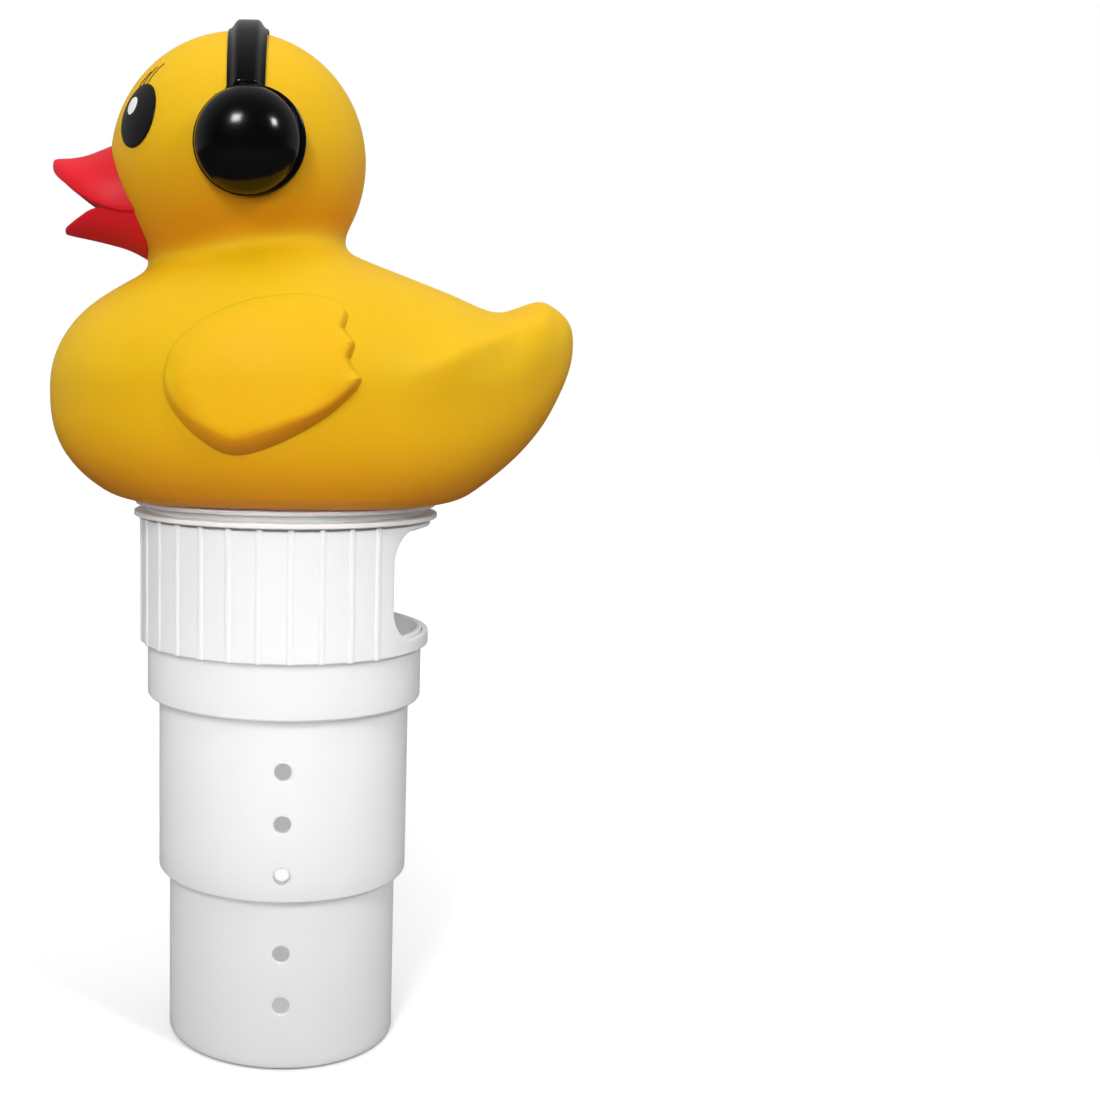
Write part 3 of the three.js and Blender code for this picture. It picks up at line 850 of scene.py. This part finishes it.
def open_floor(piece):
    """Opens the duck's flat underside for the cap, with a round edge."""
    def radius(place):
        return math.hypot(place.x, place.y) / MM

    with editing(piece.data) as work:
        middles = [(face, face.calc_center_median()) for face in work.faces]
        inner = [
            face for face, middle in middles
            if middle.z / MM < DUCK_FLOOR + 0.4 and radius(middle) < SEAT_OPENING
        ]
        bmesh.ops.delete(work, geom=inner, context="FACES")
        for vertex in work.verts:
            if vertex.is_boundary:
                vertex.co.xy *= SEAT_OPENING / radius(vertex.co)


# ---- headphones

LOW_DOME, HIGH_DOME = node_box("ear_dome_left")
LOW_RING, HIGH_RING = node_box("ear_ring_left")
LOW_STRAP, HIGH_STRAP = node_box("headband")
EAR_MIDDLE = (LOW_RING + HIGH_RING)[1:] / 2  # y and z of the ear axis
RING_OFFSET = np.array([0.87, -0.3])  # the cups look a little forward, so their rings
DOME_OFFSET = np.array([-0.6, -0.45])  # show behind the domes
RING_RADIUS = (HIGH_RING - LOW_RING)[1] / 2 - 0.6
RING_FACE = HIGH_RING[0]
RING_DEPTH, RING_RECESS, RING_GAP = 4.4, 0.9, 0.15  # gap to the head
DOME_FOOT = RING_FACE + 0.3
DOME_RADIUS = (HIGH_DOME - LOW_DOME)[1] / 2 + 0.8
DOME_TOP = HIGH_DOME[0]


def about_ear(profile, side, offset):
    """Turns a profile of (radius, distance from the mid-plane) about an axis by the ear's."""
    angles = even_angles(160)
    radius, out = np.asarray(profile, float).T
    y = EAR_MIDDLE[0] + offset[0] + radius[:, None] * np.cos(angles)
    z = EAR_MIDDLE[1] + offset[1] + radius[:, None] * np.sin(angles)
    return np.stack([side * np.broadcast_to(out[:, None], y.shape), y, z], axis=-1)


def ear_ring(label, side):
    """A shallow drum: its back fits the head, and its face is recessed under the dome."""
    back = [(radius, 0) for radius in (0, 6, 11, 15, 17.5, RING_RADIUS - 0.25)]
    recess = RING_FACE - RING_RECESS
    front = filleted([
        (RING_RADIUS, RING_FACE - RING_DEPTH), (RING_RADIUS, RING_FACE),
        (RING_RADIUS - 1.6, RING_FACE), (RING_RADIUS - 2.2, recess), (4, recess), (0, recess),
    ], 0.75, 5, False)
    points = about_ear([*back, *front], side, RING_OFFSET)
    for row in points[:len(back)]:
        from_centre = row[:, 1:] - HEAD_CENTRE[1:]
        row[:, 0] = side * np.sqrt((HEAD_RADIUS + RING_GAP) ** 2 - (from_centre**2).sum(axis=1))
    node = f"ear_ring_{label}"
    looped_piece(f"{node}_gloss", points, "float", "black_gloss", (node,))


def ear_dome(label, side):
    """A domed shell with a fine rim round its foot."""
    turn = np.linspace(0, math.pi / 2, 26)
    shoulder = DOME_FOOT + 0.5
    inner_radius = DOME_RADIUS - 0.35
    dome = np.stack([
        inner_radius * np.cos(turn) ** 0.96, shoulder + (DOME_TOP - shoulder) * np.sin(turn),
    ], axis=-1)
    dome[-1, 0] = 0
    rim = filleted([
        (0, DOME_FOOT - 0.6), (DOME_RADIUS - 0.6, DOME_FOOT - 0.6), (DOME_RADIUS - 0.6, DOME_FOOT),
        (DOME_RADIUS, DOME_FOOT), (DOME_RADIUS, shoulder), (inner_radius, shoulder + 0.05),
    ], 0.22, 4, False)
    node = f"ear_dome_{label}"
    points = about_ear([*rim[:-1], *dome], side, DOME_OFFSET)
    looped_piece(f"{node}_gloss", points, "float", "black_gloss", (node,))


STRAP_END = 21.5  # degrees above the head's middle where the strap runs into the ring
STRAP_TONGUE = 23.8  # degrees where the raised rib ends
STRAP_FLARE = 26.0  # degrees where the strap starts to flare into the ring
TONGUE_ROUND = 2.2  # degrees over which the rib's end is rounded
STRAP_HALF, STRAP_WIDER, STRAP_WIDEST = 6.35, 0.8, 4.0  # half width, more at the top, more at the ring
STRAP_BASE = 0.35  # thickness of the strap's edges
STRAP_LOW, STRAP_CROWN = 1.5, 3.2  # rise of the crown over the edges, at the ring and above
STRAP_GAP = 0.2  # between the head and the strap
STRAP_FORWARD = 0.6
STRAP_FLANK = (
    # way in from the edge, and share of the crown's rise
    (0.6, 0.04), (0.95, 0.1), (1.4, 0.22), (1.85, 0.39), (2.25, 0.58), (2.7, 0.77), (3.2, 0.91),
    (3.75, 0.98),
)


def strap_section(half, rise):
    """Half a section of the strap and its mirror: thin edges, concave flanks, a flat crown."""
    right = [
        (half - 0.3, 0.0), (half - 0.05, 0.06), (half, 0.18), (half - 0.08, STRAP_BASE - 0.06),
        (half - 0.25, STRAP_BASE + 0.01),
    ]
    right += [(half - inward, STRAP_BASE + share * rise) for inward, share in STRAP_FLANK]
    right += [(0.3 * half, STRAP_BASE + rise * 0.998), (0.0, STRAP_BASE + rise)]
    return np.array(right + [(-across, up) for across, up in right[-2::-1]])


def headband():
    """The arched strap over the head, widening where it runs into the two rings."""
    middle_y = (LOW_STRAP + HIGH_STRAP)[1] / 2 - STRAP_FORWARD
    one_side = np.concatenate([np.linspace(STRAP_END, 36, 34), np.linspace(37.5, 90, 40)])
    rows = []
    for degrees in [*one_side, *(180 - one_side[-2::-1])]:
        above = min(degrees, 180 - degrees)
        taper = (above - STRAP_END) / (90 - STRAP_END)
        flare = np.clip((STRAP_FLARE - above) / (STRAP_FLARE - STRAP_END), 0, 1)
        half = STRAP_HALF + STRAP_WIDER * taper + STRAP_WIDEST * (1 - math.sqrt(1 - flare**2))
        tongue = np.clip((above - STRAP_TONGUE) / TONGUE_ROUND, 0, 1)
        rise = STRAP_LOW + (STRAP_CROWN - STRAP_LOW) * math.sqrt(1 - (1 - tongue) ** 2)
        across, up = strap_section(half, rise).T
        radius, turn = HEAD_RADIUS + STRAP_GAP + up, math.radians(degrees)
        rows.append(np.stack([
            radius * math.cos(turn), middle_y + across, HEAD_CENTRE[2] + radius * math.sin(turn),
        ], axis=-1))
    points, faces = ended_tube(rows)
    mesh_piece("headband_gloss", points, faces, "float", "black_gloss", ("headband",), 50)


# ---- beak

# Middle and reach along Y, and stations along them
UPPER_BILL = (-60.0, 25.0, np.array([
    # angle, crest, rim, half width
    (0, 322.2, 322.2, 0),
    (10, 323.2, 320.1, 4.4),
    (20, 323.6, 317.9, 7.9),
    (30, 323.7, 315.9, 11.0),
    (45, 323.9, 312.7, 15.0),
    (60, 324.9, 308.9, 18.4),
    (75, 327.2, 305.9, 20.5),
    (90, 329.8, 303.9, 21.7),
    (105, 331.3, 303.3, 22.8),
    (120, 331.5, 303.0, 23.0),
]))
LOWER_BILL = (-58.0, 22.8, np.array([
    (0, 298.0, 298.0, 0),
    (10, 296.9, 298.3, 3.6),
    (20, 296.6, 298.8, 7.0),
    (30, 296.2, 299.6, 10.0),
    (45, 295.5, 301.6, 14.0),
    (60, 294.5, 304.0, 17.2),
    (75, 293.2, 304.8, 19.4),
    (90, 291.5, 304.7, 20.9),
    (105, 288.6, 304.5, 22.2),
    (120, 285.0, 304.3, 22.6),
]))
BILL_POWER = 1.95  # of a bill's section, where 2 is an ellipse
MOUTH_HOLLOW, HOLLOW_SHARE = 1.0, 0.25  # depth of the mouth side, and its most of the height
LIP, LIP_SHARE = 0.35, 0.15
SEAT_ANGLES = (50.0, 120.0)  # station angles between which a bill meets the head


def bill_points(bill, angle, turn):
    """Points of a bill at station angles, round its section: turn 0 to 1 goes over the crest
    from one rim to the other, and 1 to 2 comes back over the mouth side."""
    middle, reach, stations = bill
    crest, rim, half = through(stations, angle).T
    y = middle - reach * np.cos(np.radians(angle))
    height = crest - rim
    cosine, share = np.cos(turn * math.pi), np.abs(np.sin(turn * math.pi))
    x = half * np.sign(cosine) * np.abs(cosine) ** (2 / BILL_POWER)
    over = height * share ** (2 / BILL_POWER)
    hollow, lip = (
        np.minimum(most, part * np.abs(height)) * np.sign(height)
        for most, part in ((MOUTH_HOLLOW, HOLLOW_SHARE), (LIP, LIP_SHARE))
    )
    inside = hollow * share**1.5 - lip * np.exp(-(((share - 0.25) / 0.2) ** 2))
    return np.stack([x, y, rim + np.where(turn <= 1, over, inside)], axis=-1)


def bill(name, shape):
    """One bill, from its tip back to where it sits on the head."""
    seat = HEAD_RADIUS + 0.05
    turn = np.concatenate([np.linspace(0, 1, 49)[:-1], np.linspace(1, 2, 49)[:-1]])
    low, high = (np.full_like(turn, angle) for angle in SEAT_ANGLES)
    for _ in range(24):
        guess = (low + high) / 2
        points = bill_points(shape, guess, turn)
        is_out = np.linalg.norm(points - HEAD_CENTRE, axis=-1) > seat
        low, high = np.where(is_out, guess, low), np.where(is_out, high, guess)
    rows = [bill_points(shape, low * share, turn) for share in np.linspace(0, 1, 56) ** 1.25]
    rim = rows[-1]
    middle = rim.mean(axis=0)
    for share in np.linspace(0, 1, 12)[1:]:
        arm = rim * (1 - share) + middle * share - HEAD_CENTRE
        rows.append(HEAD_CENTRE + arm * seat / np.linalg.norm(arm, axis=-1, keepdims=True))
    points = np.array(rows)
    made = object_from(name, points.reshape(-1, 3), grid_faces(*points.shape[:2]))
    tidy_mesh(made.data)
    return made


def beak():
    """The open beak: two bills that meet behind the corners of the mouth."""
    upper = bill("beak_vinyl", UPPER_BILL)
    lower = bill("lower_bill", LOWER_BILL)
    union = upper.modifiers.new("union", "BOOLEAN")
    union.operation = "UNION"
    union.solver = "EXACT"
    union.object = lower
    applied(upper)
    bpy.data.objects.remove(lower)
    finish_piece(upper, "float", "red_vinyl", ("beak",), 45)


# ---- eyes

# Places on the head are azimuths from the beak towards the side, and elevations, in degrees
EYE = dict(place=(39.2, 16.2), half=(9.8, 11.8), crown=0.35, rim=0.35, lift=0.4, slot="eye_black")
GLINT = dict(place=(35.2, 20.2), half=(2.7, 3.3), crown=0.06, rim=0.1, lift=0.82, slot="eye_white")
EYE_TILT = math.radians(17.0)
EYE_SINK = 0.6
LASHES = (
    # foot and tip
    ((39.2, 30.6), (43.6, 41.6)),
    ((35.4, 30.2), (38.8, 40.6)),
    ((32.0, 29.2), (35.4, 38.0)),
)
LASH_HALF, LASH_RISE, LASH_LIFT = 0.24, 0.2, 0.08
LASH_BOW = 0.9  # degrees


def head_direction(azimuth, elevation, side):
    azimuth, elevation = math.radians(azimuth), math.radians(elevation)
    return np.array([
        side * math.sin(azimuth) * math.cos(elevation),
        -math.cos(azimuth) * math.cos(elevation),
        math.sin(elevation),
    ])


def head_patch(name, side, place, half, crown, rim, lift, slot):
    """An oval button on the head: a crowned face with a rounded edge, sunk into the skin."""
    out = head_direction(*place, side)
    up = np.array([0, 0, 1.0]) - out * out[2]
    up /= np.linalg.norm(up)
    back = np.cross(out, up) * side
    cosine, sine = math.cos(EYE_TILT), math.sin(EYE_TILT)
    up, back = up * cosine + back * sine, back * cosine - up * sine
    bend = np.linspace(0, math.pi / 2, 6)
    edge = 1 - rim / max(half) * (1 - np.sin(bend))
    shares = np.concatenate([np.linspace(0, edge[0], 14)[:-1], edge, [1.0, 0.6, 0.0]])
    heights = np.concatenate([np.full(13, lift), lift - rim * (1 - np.cos(bend)), [-EYE_SINK] * 3])
    heights[:-3] += crown * (1 - shares[:-3] ** 2)
    turn = even_angles(96)
    rows = []
    for share, height in zip(shares, heights):
        across, along = half[0] * share * np.cos(turn), half[1] * share * np.sin(turn)
        reach = np.maximum(np.hypot(across, along), 1e-6)[:, None]
        aim = (back * across[:, None] + up * along[:, None]) / reach
        way = out * np.cos(reach / HEAD_RADIUS) + aim * np.sin(reach / HEAD_RADIUS)
        rows.append(HEAD_CENTRE + way * (HEAD_RADIUS + height))
    looped_piece(name, rows, "float", slot)


def lash_rows(foot, tip, side):
    """A tapering ridge on the head, bowed a little, as rings of a round section."""
    turn = even_angles(8)[:, None]
    rows = []
    for share in np.linspace(0, 1, 14):
        bow = LASH_BOW * math.sin(math.pi * share)
        azimuth = foot[0] * (1 - share) + tip[0] * share - bow
        elevation = foot[1] * (1 - share) + tip[1] * share + 0.3 * bow
        out = head_direction(azimuth, elevation, side)
        along = head_direction(azimuth + (tip[0] - foot[0]) * 0.01, elevation + 0.1, side) - out
        beside = np.cross(out, along / np.linalg.norm(along))
        width = LASH_HALF * (1 - 0.75 * share)
        ring = HEAD_CENTRE + out * (HEAD_RADIUS + LASH_LIFT)
        rows.append(ring + beside * width * np.cos(turn) + out * LASH_RISE * np.sin(turn))
    return rows


def eye(label, side):
    head_patch(f"eye_{label}", side, **EYE)
    head_patch(f"eye_glint_{label}", side, **GLINT)
    points, faces = [], []
    for foot, tip in LASHES:
        lash, sides = ended_tube(lash_rows(foot, tip, side), len(points))
        points += list(lash)
        faces += sides
    lashes = mesh_piece(f"lashes_{label}", points, faces, "float", "eye_black")
    lashes.data.materials[0] = MATERIALS["lash_brown"]


# ---- wings

# Outline on the flank as (y, z), in two stretches that meet at the notches between feathers
WING_OUTLINE = (
    ((20.2, 252.0), (21.4, 249.4), (23.8, 246.6), (23.4, 244.2), (21.1, 241.0), (12.7, 233.5),
     (1.0, 226.6), (-10.8, 221.9), (-19.3, 221.4), (-27.9, 225.9), (-35.6, 233.3),
     (-39.5, 240.8), (-39.6, 248.8), (-36.3, 256.9), (-26.4, 265.4), (-12.3, 271.2),
     (2.9, 273.2), (14.3, 271.6), (19.0, 267.8), (19.4, 264.9), (18.3, 261.6)),
    ((18.3, 261.6), (20.0, 259.7), (21.7, 257.5), (21.4, 255.0), (20.2, 252.0)),
)
WING_MIDDLE = np.array([-7.0, 247.0])
WING_EDGE = np.array([
    # direction from the middle in degrees (0 is the tail, 90 is up), height and width of the
    # bevel at the edge, and width of the slope from it up to the face
    (-20, 4.2, 3.2, 6.0),
    (0, 3.4, 2.6, 5.0),
    (40, 2.6, 2.4, 4.5),
    (60, 0.9, 1.0, 4.5),
    (90, 0.6, 0.7, 5.5),
    (140, 0.5, 0.7, 7.0),
    (180, 0.7, 1.0, 8.0),
    (205, 2.6, 4.0, 9.0),
    (230, 5.4, 7.0, 10.0),
    (265, 6.2, 7.4, 10.0),
    (300, 5.6, 5.6, 8.0),
    (340, 4.2, 3.2, 6.0),
])
WING_STEPS = (0, 0.15, 0.35, 0.6, 0.95, 1.4, 2.0, 2.7, 3.6, 4.6, 5.8, 7.2, 9.0, 11.5)  # inwards
WING_SHARES = (0.25, 0.5, 0.72, 0.9, 1.0)  # of the way from the last step to the middle
WING_SINK = 0.9  # how deep the wing's back lies in the skin
WING_FACE = 3.9  # height of the face over the skin at the wing's middle
WING_LEAN = np.array([0.03, -0.09])  # how fast the face rises towards the tail and upwards


def smooth_curve(points, per_span):
    """A smooth curve through points, without its last point."""
    points = np.array(points, float)
    padded = np.concatenate([[2 * points[0] - points[1]], points, [2 * points[-1] - points[-2]]])
    made = []
    for i in range(1, len(points)):
        a, b, c, d = padded[i - 1:i + 3]
        for t in np.arange(per_span) / per_span:
            made.append(0.5 * (
                2 * b + (c - a) * t + (2 * a - 5 * b + 4 * c - d) * t**2
                + (3 * b - a - 3 * c + d) * t**3
            ))
    return made


def onto_flank(y, z, side):
    """Skin points straight in from the side at (y, z), and the outward directions there."""
    points = np.stack([np.full_like(y, 67.0), y, z], axis=-1)
    for _ in range(12):
        distance, out = duck_distance(points)
        points[:, 0] -= distance / np.maximum(out[:, 0], 0.25)
    out = duck_distance(points)[1]
    return points * (side, 1, 1), out * (side, 1, 1)


def edge_distance(points, outline):
    """Distance of each point to a closed outline."""
    start = outline
    along = np.roll(outline, -1, axis=0) - start
    square = (along**2).sum(axis=1)
    nearest = np.full(len(points), np.inf)
    for first, step, size in zip(start, along, square):
        share = np.clip(((points - first) @ step) / size, 0, 1)
        gap = np.linalg.norm(points - first - share[:, None] * step, axis=1)
        nearest = np.minimum(nearest, gap)
    return nearest


def wing(label, side):
    """A raised wing on the flank, with a crisp outline, a full lower edge and feather tips."""
    outline = np.array(smooth_curve(WING_OUTLINE[0], 10) + smooth_curve(WING_OUTLINE[1], 12))
    arms = WING_MIDDLE - outline
    lengths = np.linalg.norm(arms, axis=1)[:, None]
    rows = [outline + arms * step / lengths for step in WING_STEPS]
    inner = rows[-1]
    rows += [inner * (1 - share) + WING_MIDDLE * share for share in WING_SHARES]
    rows = np.array(rows)
    flat = rows.reshape(-1, 2)
    lowest = WING_EDGE[0, 0]
    direction = np.degrees(np.arctan2(*(flat - WING_MIDDLE).T[::-1]))
    direction = (direction - lowest) % 360 + lowest
    bevel, bevel_width, slope_width = (
        np.interp(direction, WING_EDGE[:, 0], column) for column in WING_EDGE.T[1:]
    )
    inwards = edge_distance(flat, outline)
    face = WING_FACE + (flat - WING_MIDDLE) @ WING_LEAN
    near = np.clip(inwards / bevel_width, 0, 1)
    slope = np.clip(inwards / slope_width, 0, 1)
    slope = slope * slope * (3 - 2 * slope)
    height = bevel * (1 - (1 - near) ** 1.3) + (face - bevel) * slope
    skin, out = onto_flank(flat[:, 0], flat[:, 1], side)
    upper = (skin + out * height[:, None]).reshape(*rows.shape[:2], 3)
    under = (skin - out * WING_SINK).reshape(*rows.shape[:2], 3)
    points = np.concatenate([under[::-3], upper])
    looped_piece(f"wing_{label}", points, "float", "yellow_vinyl", (), 38)


# ---- stage

SURROUND_GLOW = 0.8
FRONT_GLOW = 0.04  # the room behind the camera is dimmer than the white surround
FRONT_EDGE = (-0.3, 0.7)  # the X directions between which it dims
GLOSS_GLOW = 0.45  # how much of the surround glossy surfaces mirror
FLOOR_PALE, FLOOR_BOUNCE, FLOOR_MIRRORED = 0.95, 0.29, 0.05  # floor to the camera, others, gloss
FLOOR_GLOW = (0.1, 0.6)  # of the floor to the camera, near and far
FLOOR_REACH = (0.15, 1.2)  # metres from the tube between which it rises
HEAD, SLEEVE_MIDDLE, TUBES = 0.32, 0.2, 0.135  # heights that the lights shine at, in metres
SOFT_LIGHTS = (
    # name, height it shines at, direction from there, distance, width, height, watts, in gloss
    ("overhead", HEAD, (0.15, 0.05, 1), 1.3, 1.3, 1.3, 8, False),
    ("key", HEAD, (0.806, -0.258, 0.533), 2.2, 0.42, 0.38, 17, True),
    ("fill", HEAD, (0.611, 0.628, 0.481), 2.2, 0.32, 0.34, 12, True),
    ("front", SLEEVE_MIDDLE, (1, -0.15, 0.3), 1.6, 0.8, 0.5, 7.2, False),
    ("low", TUBES, (1, -0.1, 0.3), 0.8, 0.3, 0.14, 0.035, False),
)
LOW_SPREAD = math.radians(12)
SEEP_HEIGHTS, SEEP_POWER = (0.035, 0.105), 0.01


def surround():
    """A white surround, dimmer on the camera's side, that is plain white to the camera."""
    world = bpy.data.worlds.new("studio")
    world.use_nodes = True
    nodes = Nodes(world.node_tree)
    background = world.node_tree.nodes["Background"]
    nodes.feed(background.inputs["Color"], grey(1))
    glow = nodes.add("MapRange", {
        "Value": nodes.axis(nodes.output("TexCoord", "Generated"), "X"),
        "From Min": FRONT_EDGE[0], "From Max": FRONT_EDGE[1],
        "To Min": SURROUND_GLOW, "To Max": FRONT_GLOW,
    }, interpolation_type="SMOOTHSTEP")
    in_gloss = nodes.between(nodes.output("LightPath", "Is Glossy Ray"), 1.0, GLOSS_GLOW)
    seen = nodes.add("Math", {
        0: nodes.output("LightPath", "Is Camera Ray"), 1: nodes.product(glow, in_gloss),
    }, operation="MAXIMUM")
    nodes.feed(background.inputs["Strength"], seen)
    bpy.context.scene.world = world


def lamp(name, kind, power, place, mirrored=False):
    """Adds a lamp that the camera doesn't see, and returns it.

    mirrored says whether glossy surfaces show its reflection.
    """
    light = bpy.data.lights.new(name, kind)
    light.energy = power
    made = placed(name, light)
    made.location = place
    made.visible_glossy = mirrored
    made.visible_camera = False
    return made


def soft_light(name, target, away, distance, width, height, power, mirrored):
    """A rectangular light that shines on a height of the axis from a direction."""
    away = Vector(away).normalized()
    made = lamp(name, "AREA", power, Vector((0, 0, target)) + away * distance, mirrored)
    made.data.shape = "RECTANGLE"
    made.data.size, made.data.size_y = width, height
    made.rotation_euler = away.to_track_quat("Z", "Y").to_euler()
    return made.data


def pale_floor(nodes):
    """Lighter to the camera than to the object, so that it doesn't flood the underside."""
    seen = nodes.output("LightPath", "Is Camera Ray")
    mirrored = nodes.output("LightPath", "Is Glossy Ray")
    unseen = nodes.blended(mirrored, grey(FLOOR_BOUNCE), grey(FLOOR_MIRRORED))
    away = nodes.add("VectorMath", {0: nodes.output("TexCoord", "Object")}, operation="LENGTH")
    far = nodes.contrast(away.node.outputs["Value"], *FLOOR_REACH)
    return {
        "Base Color": nodes.blended(seen, unseen, grey(FLOOR_PALE)),
        "Emission Color": grey(1),
        "Emission Strength": nodes.product(nodes.between(far, *FLOOR_GLOW), seen),
        "Roughness": 0.9,
    }


def studio():
    """A plain pale floor and soft lights."""
    bpy.ops.mesh.primitive_plane_add(size=8, location=(0, 0, -0.5 * MM))
    floor = bpy.context.object
    floor.name = "floor"
    floor.data.materials.append(new_material("pale_floor", pale_floor))
    surround()
    lights = {look[0]: soft_light(*look) for look in SOFT_LIGHTS}
    lights["low"].spread = LOW_SPREAD
    for height in SEEP_HEIGHTS:  # light that thin white plastic lets through into the tubes
        lamp("seep", "POINT", SEEP_POWER, (0, 0, height)).data.shadow_soft_size = 0.01
    bpy.context.scene.view_settings.view_transform = "Standard"


VIEWPOINT = (0.539495, 0, 0.246221)
LENS = 47.71
PITCH, ROLL = math.radians(6.7533), math.radians(0.588)
BESIDE = 0.24082  # the object's distance from the middle, as a share of the picture's width


def shift_beside(eye, shift):
    """Sets the object beside the picture's middle while the camera keeps its own Euler angles.

    A view from elsewhere turns the camera by a quaternion, and has the object in its middle.
    """
    curve = eye.data.driver_add("shift_x")
    while curve.modifiers:
        curve.modifiers.remove(curve.modifiers[0])
    curve.driver.type = "AVERAGE"
    mode = curve.driver.variables.new()
    mode.type = "SINGLE_PROP"
    mode.targets[0].id = eye
    mode.targets[0].data_path = "rotation_mode"
    quaternion, euler = 0, 1  # the numbers of the two rotation modes
    for number, value in ((quaternion, 0), (euler, shift)):
        curve.keyframe_points.insert(number, value).interpolation = "LINEAR"


def camera():
    """Looks at the object from +X, a little down, with the object left of the middle."""
    data = bpy.data.cameras.new("camera")
    data.sensor_width, data.lens = 36, LENS
    data.clip_start, data.clip_end = 0.01, 20
    eye = placed("camera", data)
    eye.location = VIEWPOINT
    look = Vector((-math.cos(PITCH), 0, -math.sin(PITCH)))
    turn = look.to_track_quat("-Z", "Y").to_matrix() @ Matrix.Rotation(ROLL, 3, "Z")
    eye.rotation_euler = turn.to_euler()
    shift_beside(eye, BESIDE)
    bpy.context.scene.camera = eye


# ---- the whole scene

vented_tube("lower_tube_moulding", "lower_stage", "lower_tube", LOWER_BEAD, 4, LOWER_VENTS, lower_foot)
vented_tube(
    "middle_tube_moulding", "middle_stage", "middle_tube", MIDDLE_BEAD, 3.2, MIDDLE_VENTS, middle_foot,
)
vent_body()
flow_sleeve()
screw_cap()
cap_gasket()
duck_shell()
headband()
beak()
for side, label in ((1, "left"), (-1, "right")):
    ear_ring(label, side)
    ear_dome(label, side)
    eye(label, side)
    wing(label, side)
studio()
camera()
